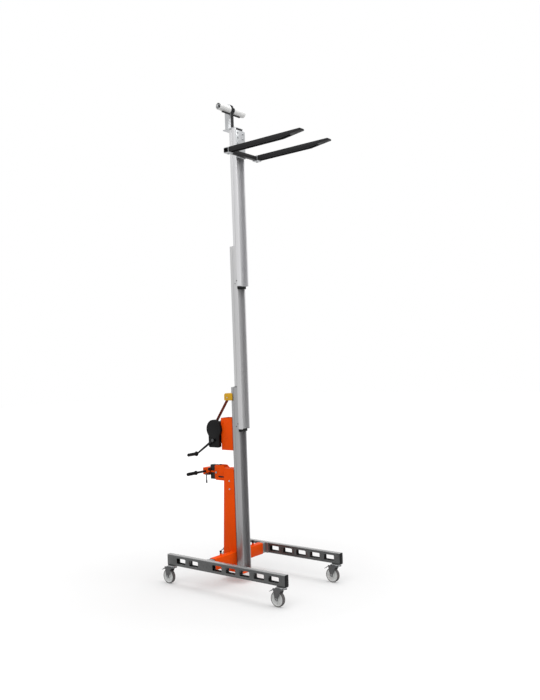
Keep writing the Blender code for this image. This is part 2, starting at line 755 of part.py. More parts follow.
def build_cross_beam():
    y = (BEAM_FRONT, BEAM_REAR)
    z = (BEAM_BOTTOM, BEAM_TOP)
    half = BEAM_HALF_LENGTH
    tube = prism(rounded_rectangle(y, z, BEAM_CORNER), -half, half, "X")
    beam = add_object("cross_beam", tube, "orange_paint")
    for side in SIDES.values():
        centre = (side * LOCK_OFFSET, BEAM_MIDDLE)
        boss = rod(BEAM_TOP - BEAM_WALL / 2, BEAM_TOP + LOCK_BOSS_HEIGHT, LOCK_BOSS_RADIUS, centre, "Z")
        fuse(beam, boss)
    bore_y = (y[0] + BEAM_WALL, y[1] - BEAM_WALL)
    bore_z = (z[0] + BEAM_WALL, z[1] - BEAM_WALL)
    cut(beam, box((-half - OVERCUT, half + OVERCUT), bore_y, bore_z))
    for side in SIDES.values():
        centre = (side * LOCK_OFFSET, BEAM_MIDDLE)
        hole_z = (BEAM_TOP - BEAM_WALL - OVERCUT, BEAM_TOP + LOCK_BOSS_HEIGHT + OVERCUT)
        cut(beam, rod(*hole_z, LOCK_PIN_RADIUS + RUN, centre, "Z"))


def build_leg_lock(side_name):
    """Index plunger: its pin drops through the beam and the stub."""
    centre = (SIDES[side_name] * LOCK_OFFSET, BEAM_MIDDLE)
    low = BEAM_TOP - BEAM_WALL - SEAT - STUB_WALL - LOCK_REACH
    knob = BEAM_TOP + LOCK_BOSS_HEIGHT + SEAT
    neck = knob + LOCK_KNOB_HEIGHT / 3
    top = knob + LOCK_KNOB_HEIGHT
    profile = [
        (low, 0),
        (low, LOCK_PIN_RADIUS),
        (knob, LOCK_PIN_RADIUS),
        (knob, LOCK_KNOB_RADIUS * 0.7),
        (neck, LOCK_KNOB_RADIUS * 0.7),
        (neck + 0.003, LOCK_KNOB_RADIUS),
        (top - 0.003, LOCK_KNOB_RADIUS),
        (top, LOCK_KNOB_RADIUS * 0.7),
        (top, 0),
    ]
    pin = turned(profile, centre, "Z", SMALL_SEGMENTS)
    add_object(f"leg_lock_{side_name}", pin, "black_plastic", f"lock_{side_name}", smooth=True)


def build_foot_plate():
    x = (-MAST_HALF - FOOT_MARGIN, MAST_HALF + FOOT_MARGIN)
    y = (MAST_FRONT - FOOT_MARGIN, COLUMN_FRONT + COLUMN_FOOT_DEPTH + FOOT_MARGIN)
    high = OUTER_BOTTOM - SEAT
    outline = rounded_rectangle(x, y, 0.010)
    add_object("foot_plate", prism(outline, high - FOOT_THICKNESS, high, "Z"), "orange_paint")


def column_outline(inset, low, high):
    """Side view of the tapered column, its rear edge set in by the wall."""
    front = COLUMN_FRONT if inset == 0 else COLUMN_FRONT - OVERCUT
    return [(front, low), (column_rear(low) - inset, low), (column_rear(high) - inset, high), (front, high)]


def build_column():
    """Folded sheet column, open towards the mast, notched over the cross-beam."""
    half = COLUMN_HALF_WIDTH
    column = add_object(
        "column",
        prism(column_outline(0, OUTER_BOTTOM + SEAT, COLUMN_TOP), -half, half, "X"),
        "orange_paint",
    )
    inner = half - COLUMN_WALL
    hollow = column_outline(COLUMN_WALL, OUTER_BOTTOM - OVERCUT, COLUMN_TOP - COLUMN_WALL)
    cut(column, prism(hollow, -inner, inner, "X"))
    notch_y = (COLUMN_FRONT - OVERCUT, BEAM_REAR + SEAT)
    notch_z = (BEAM_BOTTOM - SEAT, BEAM_TOP + SEAT)
    cut(column, box((-half - OVERCUT, half + OVERCUT), notch_y, notch_z))


def build_winch_bracket():
    """Folded box on the mast's rear face that carries the winch."""
    low = BRACKET_BOTTOM
    high = BRACKET_BOTTOM + BRACKET_HEIGHT
    half = BRACKET_WIDTH / 2
    x = (-half, half)
    y = (BRACKET_FRONT, BRACKET_REAR)
    shell = prism(rounded_rectangle(x, y, 0.005, 2), low, high, "Z")
    bracket = add_object("winch_bracket", shell, "orange_paint")
    wall = BRACKET_WALL
    hollow_x = (-half + wall, half - wall)
    hollow_y = (y[0] + wall, y[1] - wall)
    cut(bracket, box(hollow_x, hollow_y, (low - OVERCUT, high + OVERCUT)))


def winch_side_outline(radius, lobe):
    """Round plate about the drum with a narrower lobe down to the pinion."""
    points = []
    steps = 18
    lower = math.asin(min(1.0, lobe / radius))
    start = -math.pi / 2 + lower
    for step in range(steps + 1):
        turn = start + (2 * math.pi - 2 * lower) * step / steps
        points.append((DRUM_Y + radius * math.cos(turn), DRUM_HEIGHT + radius * math.sin(turn)))
    points.append((PINION_Y - lobe, PINION_Z - lobe))
    points.append((PINION_Y + lobe, PINION_Z - lobe))
    return points


def build_winch_frame():
    """Steel cheeks joined by a base plate, with holes for the two shafts."""
    outer = FRAME_OUTER
    inner = FRAME_HALF_WIDTH
    frame = add_object(
        "winch_frame",
        prism(winch_side_outline(FRAME_RADIUS, FRAME_LOBE), -outer, outer, "X"),
        "black_steel",
    )
    base_y = (FRAME_FRONT, DRUM_Y - FRAME_LOBE)
    fuse(frame, box((-outer, outer), base_y, (FRAME_LOW, FRAME_HIGH - 0.004)))
    trim_y = (FRAME_FRONT - OVERCUT, FRAME_FRONT)
    trim_z = (FRAME_LOW - OVERCUT, FRAME_HIGH + OVERCUT)
    cut(frame, box((-outer - OVERCUT, outer + OVERCUT), trim_y, trim_z))
    gap_y = (FRAME_FRONT + FRAME_WALL, DRUM_Y + FRAME_RADIUS + OVERCUT)
    gap_z = (FRAME_LOW - OVERCUT, FRAME_HIGH + OVERCUT)
    cut(frame, box((-inner, inner), gap_y, gap_z))
    holes = bmesh.new()
    shaft = rod_profile(-outer - OVERCUT, outer + OVERCUT, DRUM_SHAFT_RADIUS + SEAT)
    add_turned(holes, shaft, (DRUM_Y, DRUM_HEIGHT), "X", SEGMENTS)
    pinion = rod_profile(-outer - OVERCUT, outer + OVERCUT, PINION_SHAFT_RADIUS + SEAT)
    add_turned(holes, pinion, (PINION_Y, PINION_Z), "X", SEGMENTS)
    cut(frame, holes)


def cover_outline(inset):
    """Side view of the gear cover: a round top over a square lower end."""
    radius = COVER_RADIUS - inset
    half = COVER_LOWER_HALF_WIDTH - inset
    bottom = DRUM_HEIGHT - COVER_BOTTOM_DROP + inset
    corner = 0.010
    join = math.asin(half / radius)
    points = []
    steps = 20
    for step in range(steps + 1):
        turn = -math.pi / 2 + join + (2 * math.pi - 2 * join) * step / steps
        points.append((DRUM_Y + radius * math.cos(turn), DRUM_HEIGHT + radius * math.sin(turn)))
    points.append((DRUM_Y - half, bottom + corner))
    points.append((DRUM_Y - half + corner, bottom))
    points.append((DRUM_Y + half - corner, bottom))
    points.append((DRUM_Y + half, bottom + corner))
    return points


def build_winch_cover():
    """Moulded gear cover: a shell open towards the cheek."""
    x = (COVER_OUTER_X, COVER_INNER_X)
    cover = add_object("winch_cover", prism(cover_outline(0), *x, "X"), "black_plastic")
    hollow = prism(cover_outline(COVER_WALL), x[0] + COVER_WALL, x[1] + OVERCUT, "X")
    cut(cover, hollow)
    notch_x = (-BRACKET_WIDTH / 2 - SEAT, x[1] + OVERCUT)
    notch_y = (DRUM_Y - COVER_RADIUS - OVERCUT, FRAME_FRONT)
    notch_z = (BRACKET_BOTTOM - OVERCUT, DRUM_HEIGHT + COVER_RADIUS + OVERCUT)
    cut(cover, box(notch_x, notch_y, notch_z))
    hole = rod(x[0] - OVERCUT, x[1] + OVERCUT, PINION_SHAFT_RADIUS + RUN, (PINION_Y, PINION_Z), "X")
    cut(cover, hole)


def gear_outline(centre, teeth, phase):
    """Straight-flanked teeth; phase is the angle of the first tooth's middle."""
    pitch = 2 * math.pi / teeth
    pitch_radius = GEAR_MODULE * teeth / 2
    root = pitch_radius - 1.15 * GEAR_MODULE
    tip = pitch_radius + 0.90 * GEAR_MODULE
    half = pitch * TOOTH_SHARE / 2
    flank = math.tan(math.radians(20)) * GEAR_MODULE / pitch_radius
    points = []
    for tooth in range(teeth):
        middle = phase + pitch * tooth
        corners = ((root, -half - flank), (tip, flank - half), (tip, half - flank), (root, half + flank))
        for radius, offset in corners:
            turn = middle + offset
            points.append((centre[0] + radius * math.cos(turn), centre[1] + radius * math.sin(turn)))
    return points


def build_winch_drum():
    """Drum with its shaft, the strap wound on it and the large gear."""
    centre = (DRUM_Y, DRUM_HEIGHT)
    inner = STRAP_WIDTH / 2 + RUN
    flange = inner + DRUM_FLANGE
    shaft_near = GEAR_NEAR_X - 0.004
    shaft_far = FRAME_OUTER + 0.006
    profile = [
        (shaft_near, 0),
        (shaft_near, DRUM_SHAFT_RADIUS),
        (-flange, DRUM_SHAFT_RADIUS),
        (-flange, DRUM_FLANGE_RADIUS),
        (-inner, DRUM_FLANGE_RADIUS),
        (-inner, DRUM_CORE_RADIUS),
        (inner, DRUM_CORE_RADIUS),
        (inner, DRUM_FLANGE_RADIUS),
        (flange, DRUM_FLANGE_RADIUS),
        (flange, DRUM_SHAFT_RADIUS),
        (shaft_far, DRUM_SHAFT_RADIUS),
        (shaft_far, 0),
    ]
    add_object("winch_drum", turned(profile, centre, "X"), "zinc", "drum_spin", smooth=True)
    half = STRAP_WIDTH / 2
    wound = ring_profile(-half, half, DRUM_CORE_RADIUS + SEAT, WOUND_RADIUS)
    add_object("strap_winding", turned(wound, centre, "X"), "strap_webbing", "drum_spin", smooth=True)
    teeth = gear_outline(centre, GEAR_TEETH, -math.pi / 2)
    gear = add_object(
        "winch_gear",
        prism(teeth, GEAR_NEAR_X, GEAR_NEAR_X + GEAR_WIDTH, "X"),
        "zinc",
        "drum_spin",
    )
    bore_x = (GEAR_NEAR_X - OVERCUT, GEAR_NEAR_X + GEAR_WIDTH + OVERCUT)
    cut(gear, rod(*bore_x, DRUM_SHAFT_RADIUS + SEAT, centre, "X"), "drum_spin")


def crank_direction():
    turn = math.radians(CRANK_ANGLE)
    return (math.cos(turn), -math.sin(turn))


def build_crank():
    """Pinion shaft through both cheeks, crank arm and free-turning grip."""
    centre = (PINION_Y, PINION_Z)
    near = HUB_X - HUB_LENGTH - 0.004
    shaft = add_object(
        "crank_shaft",
        rod(near, FRAME_OUTER + 0.006, PINION_SHAFT_RADIUS, centre, "X"),
        "zinc",
        "crank_spin",
        smooth=True,
    )
    phase = math.pi / 2 + math.pi / PINION_TEETH
    teeth = gear_outline(centre, PINION_TEETH, phase)
    fuse(shaft, prism(teeth, GEAR_NEAR_X - 0.001, GEAR_NEAR_X + GEAR_WIDTH + 0.001, "X"), "crank_spin")
    hub = ring_profile(HUB_X - HUB_LENGTH, HUB_X, PINION_SHAFT_RADIUS + SEAT, HUB_RADIUS)
    arm = add_object("crank_arm", turned(hub, centre, "X"), "black_steel", "crank_spin")
    along = crank_direction()
    across = (-along[1], along[0])
    corners = []
    for reach, side in ((0.012, -1), (CRANK_LENGTH, -0.7), (CRANK_LENGTH, 0.7), (0.012, 1)):
        offset = side * CRANK_WIDTH / 2
        corners.append((
            centre[0] + along[0] * reach + across[0] * offset,
            centre[1] + along[1] * reach + across[1] * offset,
        ))
    bar_x = (CRANK_X - CRANK_THICKNESS / 2, CRANK_X + CRANK_THICKNESS / 2)
    fuse(arm, prism(corners, *bar_x, "X"), "crank_spin")
    grip_centre = (GRIP_Y, GRIP_Z)
    eye = rod(*bar_x, CRANK_WIDTH / 2, grip_centre, "X")
    fuse(arm, eye, "crank_spin")
    pin_end = bar_x[0] - SEAT - GRIP_LENGTH - SEAT
    fuse(arm, rod(pin_end - 0.003, bar_x[1] - 0.002, GRIP_PIN_RADIUS, grip_centre, "X"), "crank_spin")
    fuse(arm, rod(pin_end - 0.004, pin_end, GRIP_PIN_RADIUS * 1.6, grip_centre, "X"), "crank_spin")
    high = bar_x[0] - SEAT
    low = high - GRIP_LENGTH
    bore = GRIP_PIN_RADIUS + SEAT
    profile = [
        (low, bore),
        (low, GRIP_RADIUS * 0.8),
        (low + 0.006, GRIP_RADIUS),
        (high - GRIP_COLLAR_LENGTH - 0.006, GRIP_RADIUS * 0.93),
        (high - GRIP_COLLAR_LENGTH, GRIP_COLLAR_RADIUS),
        (high, GRIP_COLLAR_RADIUS * 0.9),
        (high, bore),
    ]
    add_object("crank_grip", turned(profile, grip_centre, "X", 20), "black_plastic", "grip_spin", smooth=True)


def tangent_points():
    """Where the strap's middle line leaves the winding and meets the pulley."""
    drum = Vector((DRUM_Y, DRUM_HEIGHT))
    pulley = Vector((PULLEY_Y, PULLEY_Z))
    half = STRAP_THICKNESS / 2
    wound = WOUND_RADIUS + SEAT + half
    bend = PULLEY_RADIUS + SEAT + half
    between = pulley - drum
    lean = math.asin((wound - bend) / between.length)
    base = math.atan2(between.y, between.x)
    side = base - math.pi / 2 + lean
    normal = Vector((math.cos(side), math.sin(side)))
    return drum + normal * wound, pulley + normal * bend, side, bend


def strap_route():
    """Middle line of the strap in side view, from the winding into the mast."""
    leave, meet, side, bend = tangent_points()
    points = [leave, meet]
    top = math.pi / 2
    steps = 8
    for step in range(1, steps + 1):
        turn = side + (top - side) * step / steps
        points.append(Vector((PULLEY_Y + bend * math.cos(turn), PULLEY_Z + bend * math.sin(turn))))
    down_y = MAST_FRONT + CHANNEL_DEPTH - FLANGE_CLEARANCE / 2
    corner = Vector((down_y + STRAP_BEND, PULLEY_Z + bend - STRAP_BEND))
    for step in range(5):
        turn = math.pi / 2 + math.pi / 2 * step / 4
        points.append(corner + Vector((math.cos(turn), math.sin(turn))) * STRAP_BEND)
    points.append(Vector((down_y, MIDDLE_BOTTOM - SHOE_HEIGHT / 2)))
    return points


def ribbon_outline(route, thickness):
    """Closed outline of a strip of even thickness about a middle line."""
    left = []
    right = []
    for index, point in enumerate(route):
        before = route[max(index - 1, 0)]
        after = route[min(index + 1, len(route) - 1)]
        first = (point - before).normalized() if index else (after - point).normalized()
        last = (after - point).normalized() if index < len(route) - 1 else first
        along = (first + last).normalized()
        across = Vector((-along.y, along.x))
        reach = thickness / 2 / max(0.5, along.dot(first))
        left.append(point + across * reach)
        right.append(point - across * reach)
    return [(p.x, p.y) for p in left] + [(p.x, p.y) for p in reversed(right)]


def build_strap():
    outline = ribbon_outline(strap_route(), STRAP_THICKNESS)
    half = STRAP_WIDTH / 2
    add_object("lift_strap", prism(outline, -half, half, "X"), "strap_webbing")


def build_guide_pulley():
    centre = (PULLEY_Y, PULLEY_Z)
    inner = STRAP_WIDTH / 2 + RUN
    outer = PULLEY_HALF_WIDTH
    bore = PULLEY_PIN_RADIUS + SEAT
    profile = [
        (-outer, bore),
        (-outer, PULLEY_FLANGE_RADIUS),
        (-inner, PULLEY_FLANGE_RADIUS),
        (-inner, PULLEY_RADIUS),
        (inner, PULLEY_RADIUS),
        (inner, PULLEY_FLANGE_RADIUS),
        (outer, PULLEY_FLANGE_RADIUS),
        (outer, bore),
    ]
    add_object("guide_pulley", turned(profile, centre, "X"), "zinc", "pulley_spin", smooth=True)


def build_pulley_pin():
    """Pin across the guard, with shoulders that keep the pulley in the middle."""
    end = GUARD_HALF_WIDTH + PULLEY_PIN_END
    wall = GUARD_HALF_WIDTH - GUARD_WALL - SEAT
    pulley = PULLEY_HALF_WIDTH + RUN
    half = [
        (end, 0),
        (end, PULLEY_PIN_RADIUS),
        (wall, PULLEY_PIN_RADIUS),
        (wall, PULLEY_SHOULDER_RADIUS),
        (pulley, PULLEY_SHOULDER_RADIUS),
        (pulley, PULLEY_PIN_RADIUS),
    ]
    profile = [(-along, radius) for along, radius in half] + half[::-1]
    pin = turned(profile, (PULLEY_Y, PULLEY_Z), "X", SMALL_SEGMENTS)
    add_object("pulley_pin", pin, "zinc", smooth=True)


def build_pulley_guard():
    """Bent guard over the pulley; its cheeks lap the sides of the mast."""
    reach = PULLEY_FLANGE_RADIUS + RUN + GUARD_WALL
    half = GUARD_HALF_WIDTH
    top = PULLEY_Z + reach + GUARD_MARGIN / 2
    rear = PULLEY_Y + reach + GUARD_MARGIN / 2
    low = PULLEY_Z - reach * GUARD_SKIRT
    front = MAST_REAR + SEAT
    lap = MAST_REAR - GUARD_WRAP
    corner = GUARD_CORNER
    outline = [(lap, low), (rear, low), (rear, top - corner), (rear - corner, top), (lap, top)]
    guard = add_object("pulley_guard", prism(outline, -half, half, "X"), "yellow_paint")
    wall = GUARD_WALL
    mast_y = (lap - OVERCUT, front)
    cut(guard, box((wall - half, half - wall), mast_y, (low - OVERCUT, top + OVERCUT)))
    hollow = [
        (front + wall, low - OVERCUT),
        (rear - wall, low - OVERCUT),
        (rear - wall, top - corner - wall / 2),
        (rear - corner - wall / 2, top - wall),
        (front + wall, top - wall),
    ]
    cut(guard, prism(hollow, -half + wall, half - wall, "X"))
    window = STRAP_WIDTH / 2 + RUN
    middle = PULLEY_Z + PULLEY_RADIUS
    window_z = (middle - STRAP_WINDOW_HEIGHT / 2, top - wall)
    cut(guard, box((-window, window), (front - OVERCUT, front + wall + OVERCUT / 2), window_z))
    slot_y = (rear - wall - OVERCUT / 2, rear + OVERCUT)
    cut(guard, box((-window, window), slot_y, (low - OVERCUT, PULLEY_Z)))
    bore = PULLEY_PIN_RADIUS + SEAT
    cut(guard, rod(-half - OVERCUT, half + OVERCUT, bore, (PULLEY_Y, PULLEY_Z), "X"))


def column_rear(height):
    """Where the column's sloping rear face stands at a height."""
    slope = (COLUMN_FOOT_DEPTH - COLUMN_TOP_DEPTH) / (COLUMN_TOP - OUTER_BOTTOM)
    return COLUMN_FRONT + COLUMN_TOP_DEPTH + slope * (COLUMN_TOP - height)


def build_handle_bracket():
    """Folded channel on the column's rear face, its cheeks towards the operator."""
    half = HANDLE_BRACKET_HALF_WIDTH
    low = HANDLE_BRACKET_BOTTOM
    high = HANDLE_BRACKET_TOP
    top = column_rear(COLUMN_TOP) + SEAT
    foot = column_rear(low) + SEAT
    rear = HANDLE_Y + HANDLE_BRACKET_REAR
    corner = HANDLE_BRACKET_CORNER
    outline = [
        (foot, low),
        (rear - corner, low),
        (rear, low + corner),
        (rear, high - corner),
        (rear - corner, high),
        (top + HANDLE_BRACKET_BEVEL, high),
        (top, COLUMN_TOP),
    ]
    bracket = add_object("handle_bracket", prism(outline, -half, half, "X"), "orange_paint")
    wall = HANDLE_WALL
    hollow = (foot + wall, rear + OVERCUT)
    cut(bracket, box((-half + wall, half - wall), hollow, (low - OVERCUT, high + OVERCUT)))
    bore = HANDLE_PIVOT_RADIUS + SEAT
    cut(bracket, rod(-half - OVERCUT, half + OVERCUT, bore, (HANDLE_Y, HANDLE_PIVOT_HEIGHT), "X"))
    slot_y = (foot + HANDLE_SLOT_SETBACK, foot + HANDLE_SLOT_SETBACK + HANDLE_SLOT_LENGTH)
    slot_middle = HANDLE_PIVOT_HEIGHT - HANDLE_SLOT_DROP
    slot_z = (slot_middle - HANDLE_SLOT_HEIGHT / 2, slot_middle + HANDLE_SLOT_HEIGHT / 2)
    slot = rounded_rectangle(slot_y, slot_z, HANDLE_SLOT_HEIGHT * 0.4)
    cut(bracket, prism(slot, -half - OVERCUT, half + OVERCUT, "X"))


def build_handle_pivot():
    half = HANDLE_BRACKET_HALF_WIDTH
    centre = (HANDLE_Y, HANDLE_PIVOT_HEIGHT)
    head = HANDLE_PIVOT_RADIUS * 1.8
    low = -half - SEAT - 0.005
    high = half + SEAT + 0.005
    profile = [
        (low, 0),
        (low, head),
        (-half - SEAT, head),
        (-half - SEAT, HANDLE_PIVOT_RADIUS),
        (half + SEAT, HANDLE_PIVOT_RADIUS),
        (half + SEAT, head),
        (high, head),
        (high, 0),
    ]
    add_object("handle_pivot", turned(profile, centre, "X", SMALL_SEGMENTS), "zinc", smooth=True)


def build_handle_arm():
    """Folded arm that hinges between the bracket's cheeks."""
    pivot = "handle_fold"
    half = HANDLE_ARM_HALF_WIDTH
    low = HANDLE_PIVOT_HEIGHT - HANDLE_ARM_BOTTOM
    high = HANDLE_PIVOT_HEIGHT + HANDLE_ARM_TOP
    front = HANDLE_Y - HANDLE_ARM_FRONT
    rear = HANDLE_Y + HANDLE_ARM_REACH
    chamfer = HANDLE_ARM_CHAMFER
    outline = [(front, low + chamfer), (front + chamfer, low), (rear, low), (rear, high), (front, high)]
    arm = add_object("handle_arm", prism(outline, -half, half, "X"), "black_steel", pivot)
    wall = HANDLE_WALL
    hollow_y = (front - OVERCUT, rear - wall)
    cut(arm, box((-half + wall, half - wall), hollow_y, (low - OVERCUT, high - wall)), pivot)
    bore = HANDLE_PIVOT_RADIUS + SEAT
    cut(arm, rod(-half - OVERCUT, half + OVERCUT, bore, (HANDLE_Y, HANDLE_PIVOT_HEIGHT), "X"), pivot)


def build_handlebar():
    """Clamp, tube and grips at the end of the folding arm."""
    pivot = "handle_fold"
    half = CLAMP_HALF_WIDTH
    front = HANDLE_Y + HANDLE_ARM_REACH + SEAT
    y = (front, HANDLEBAR_Y + CLAMP_DEPTH / 2)
    z = (HANDLEBAR_Z - CLAMP_HEIGHT / 2, HANDLEBAR_Z + CLAMP_HEIGHT / 2)
    block = rounded_rectangle(y, z, CLAMP_CORNER)
    clamp = add_object("handle_clamp", prism(block, -half, half, "X"), "orange_paint", pivot)
    wall = CLAMP_WALL
    hollow_y = (front - OVERCUT, HANDLEBAR_Y - HANDLEBAR_RADIUS - wall)
    hollow_z = (z[0] + wall, z[1] - wall)
    cut(clamp, box((-half + wall, half - wall), hollow_y, hollow_z), pivot)
    centre = (HANDLEBAR_Y, HANDLEBAR_Z)
    cut(clamp, rod(-half - OVERCUT, half + OVERCUT, HANDLEBAR_RADIUS + SEAT, centre, "X"), pivot)
    tube = ring_profile(-HANDLEBAR_HALF_LENGTH, HANDLEBAR_HALF_LENGTH, HANDLEBAR_BORE, HANDLEBAR_RADIUS)
    add_object("handlebar", turned(tube, centre, "X", 20), "black_steel", pivot, smooth=True)
    for side_name, side in SIDES.items():
        grip = turned(handlebar_grip_profile(side), centre, "X", 20)
        add_object(f"handlebar_grip_{side_name}", grip, "black_plastic", pivot, smooth=True)


def handlebar_grip_profile(side):
    """Closed-ended grip with a hand stop at its inner end."""
    bore = HANDLEBAR_RADIUS + SEAT
    end = HANDLEBAR_HALF_LENGTH + SEAT
    inner = end - HANDLEBAR_GRIP_LENGTH
    stations = [
        (inner, bore),
        (inner, HANDLEBAR_COLLAR_RADIUS),
        (inner + 0.010, HANDLEBAR_COLLAR_RADIUS),
        (inner + 0.016, HANDLEBAR_GRIP_RADIUS),
        (end - 0.006, HANDLEBAR_GRIP_RADIUS),
        (end + GRIP_END, HANDLEBAR_GRIP_RADIUS * 0.75),
        (end + GRIP_END, 0),
        (end, 0),
        (end, bore),
    ]
    return [(side * along, radius) for along, radius in stations]


def build_lock_lever():
    """Clamp lever that hangs below the handle clamp and locks the bar."""
    pivot = "lever_swing"
    y = LEVER_Y
    z = LEVER_Z
    stem = rod(LEVER_X - LEVER_STEM, LEVER_X - SEAT, LEVER_RADIUS * 1.5, (y, z), "X")
    lever = add_object("handle_lock_lever", stem, "zinc", pivot, smooth=True)
    x = LEVER_X - LEVER_STEM + LEVER_RADIUS
    fuse(lever, rod(z - LEVER_LENGTH, z, LEVER_RADIUS, (x, y), "Z"), pivot)


def build_head():
    """Plate and post on the inner profile, with the loading rollers' axle."""
    x = (-MAST_HALF, MAST_HALF)
    y = (INNER_FRONT, INNER_REAR + HEAD_OVERHANG)
    half = HEAD_POST_WIDTH / 2
    plate = prism(rounded_rectangle(x, y, HEAD_CORNER), HEAD_BOTTOM, HEAD_PLATE_TOP, "Z")
    head = add_object("head_bracket", plate, "zinc", "inner_slide")
    top = HEAD_PLATE_TOP + HEAD_POST_HEIGHT
    rear = y[1] - HEAD_POST_INSET
    front = rear - HEAD_POST_DEPTH
    low = HEAD_PLATE_TOP - HEAD_PLATE_THICKNESS / 2
    outline = [
        (front, low),
        (rear, low),
        (rear, top - HEAD_POST_CORNER),
        (rear - HEAD_POST_CORNER, top),
        (front + HEAD_POST_BEVEL, top),
        (front, top - HEAD_POST_BEVEL),
    ]
    fuse(head, prism(outline, -half, half, "X"), "inner_slide")
    wall = HEAD_POST_WALL
    hollow_y = (front + wall, rear - wall)
    hollow_z = (HEAD_PLATE_TOP + wall, top - HEAD_POST_CORNER - HEAD_POST_BEVEL)
    cut(head, box((-half + wall, half + OVERCUT), hollow_y, hollow_z), "inner_slide")
    end = half + ROLLER_SIDE_GAP + ROLLER_LENGTH + ROLLER_SIDE_GAP / 2
    centre = (ROLLER_Y, ROLLER_Z)
    fuse(head, rod(-end, end, ROLLER_AXLE_RADIUS, centre, "X"), "inner_slide")
    for side in SIDES.values():
        nut = ordered(side * (end - ROLLER_NUT / 2), side * (end + ROLLER_NUT / 2))
        fuse(head, turned(rod_profile(*nut, ROLLER_NUT_RADIUS), centre, "X", 6), "inner_slide")


def build_head_roller(side_name):
    """Tube roller on end discs; its near end is open outside the disc."""
    side = SIDES[side_name]
    inner = HEAD_POST_WIDTH / 2 + ROLLER_SIDE_GAP
    outer = inner + ROLLER_LENGTH - ROLLER_NUT
    bore = ROLLER_AXLE_RADIUS + SEAT
    tube = ROLLER_RADIUS - ROLLER_WALL
    stations = [
        (inner, bore),
        (inner, ROLLER_RADIUS - ROLLER_EDGE),
        (inner + ROLLER_EDGE, ROLLER_RADIUS),
        (outer - ROLLER_EDGE, ROLLER_RADIUS),
        (outer, ROLLER_RADIUS - ROLLER_EDGE),
        (outer, tube),
        (outer - ROLLER_RECESS, tube),
        (outer - ROLLER_RECESS, ROLLER_HUB_RADIUS),
        (outer - ROLLER_HUB_RECESS, ROLLER_HUB_RADIUS),
        (outer - ROLLER_HUB_RECESS, bore),
    ]
    profile = [(side * along, radius) for along, radius in stations]
    roller = turned(profile, (ROLLER_Y, ROLLER_Z), "X")
    add_object(f"head_roller_{side_name}", roller, "roller", f"roller_{side_name}", smooth=True)


def build_carriage():
    """Plate with sliders in the inner profile's channel and the fork crossbar."""
    pivot = "carriage_slide"
    half = CARRIAGE_PLATE_HALF_WIDTH
    z = (CARRIAGE_BOTTOM, CARRIAGE_BOTTOM + CARRIAGE_HEIGHT)
    outline = rounded_rectangle((-half, half), z, 0.008)
    add_object("carriage_plate", prism(outline, CARRIAGE_FRONT, CARRIAGE_REAR, "Y"), "zinc", pivot)
    slider_z = (z[1] - SLIDER_LENGTH, z[1] - SLIDER_RIM)
    block = prism(slider_outline(), *slider_z, "Z")
    slider = add_object("carriage_slider", block, "black_plastic", pivot)
    waist_z = (slider_z[0] + SLIDER_HEIGHT, slider_z[1] - SLIDER_HEIGHT)
    waist_y = (INNER_FRONT + PROFILE_WALL, INNER_FRONT + CHANNEL_DEPTH)
    for sign in SIDES.values():
        waist_x = ordered(sign * (LIP_OPENING - SLIDER_RIM - 0.001), sign * MAST_HALF)
        cut(slider, box(waist_x, waist_y, waist_z), pivot)
    bar_y = (CROSSBAR_FRONT, CROSSBAR_REAR)
    bar_z = (CROSSBAR_BOTTOM, CROSSBAR_TOP)
    bar = add_object(
        "fork_crossbar",
        prism(rounded_rectangle(bar_y, bar_z, 0.005), -CROSSBAR_HALF_LENGTH, CROSSBAR_HALF_LENGTH, "X"),
        "black_steel",
        pivot,
    )
    wall = CROSSBAR_WALL
    reach = CROSSBAR_HALF_LENGTH + OVERCUT
    bore_y = (bar_y[0] + wall, bar_y[1] - wall)
    cut(bar, box((-reach, reach), bore_y, (bar_z[0] + wall, bar_z[1] - wall)), pivot)


def slider_outline():
    """Plan of a slider: a tongue through the lips and a wide foot behind them."""
    tongue = LIP_OPENING - SLIDER_RIM
    foot = CHANNEL_HALF - SLIDER_RIM
    start = CARRIAGE_REAR + SEAT
    lips = INNER_FRONT + PROFILE_WALL + SLIDER_RIM
    rear = INNER_FRONT + CHANNEL_DEPTH - SLIDER_RIM
    half = [(tongue, start), (tongue, lips), (foot, lips), (foot, rear)]
    return half + [(-x, y) for x, y in reversed(half)]


def build_fork(side_name):
    """Tapered channel fork, open below, on a sleeve round the crossbar."""
    side = SIDES[side_name]
    pivot = "carriage_slide"
    middle = side * FORK_SPACING / 2
    x = (middle - FORK_WIDTH / 2, middle + FORK_WIDTH / 2)
    low = FORK_TOP - FORK_THICKNESS
    outline = [
        (FORK_HEEL, low),
        (FORK_HEEL, FORK_TOP),
        (FORK_TIP + 0.006, FORK_TOP),
        (FORK_TIP, FORK_TOP - 0.006),
        (FORK_TIP, FORK_TOP - FORK_TIP_THICKNESS),
        (FORK_TIP + FORK_TAPER, low),
    ]
    fork = add_object(f"fork_{side_name}", prism(outline, *x, "X"), "black_steel", pivot)
    sleeve_x = (x[0] - SLEEVE_RIM, x[1] + SLEEVE_RIM)
    sleeve_y = (FORK_HEEL - SLEEVE_WALL, CROSSBAR_REAR + SEAT + SLEEVE_WALL)
    sleeve_z = (CROSSBAR_BOTTOM - SEAT - SLEEVE_WALL, FORK_TOP)
    fuse(fork, prism(rounded_rectangle(sleeve_y, sleeve_z, 0.004), *sleeve_x, "X"), pivot)
    hole_y = (FORK_HEEL, CROSSBAR_REAR + SEAT)
    hole_z = (CROSSBAR_BOTTOM - SEAT, CROSSBAR_TOP + SEAT)
    cut(fork, box((sleeve_x[0] - OVERCUT, sleeve_x[1] + OVERCUT), hole_y, hole_z), pivot)
    hollow_x = (x[0] + FORK_WALL, x[1] - FORK_WALL)
    hollow_y = (FORK_TIP + FORK_TAPER * 0.55, FORK_HEEL - SLEEVE_WALL - FORK_WALL)
    cut(fork, box(hollow_x, hollow_y, (low - OVERCUT, FORK_TOP - FORK_WALL)), pivot)


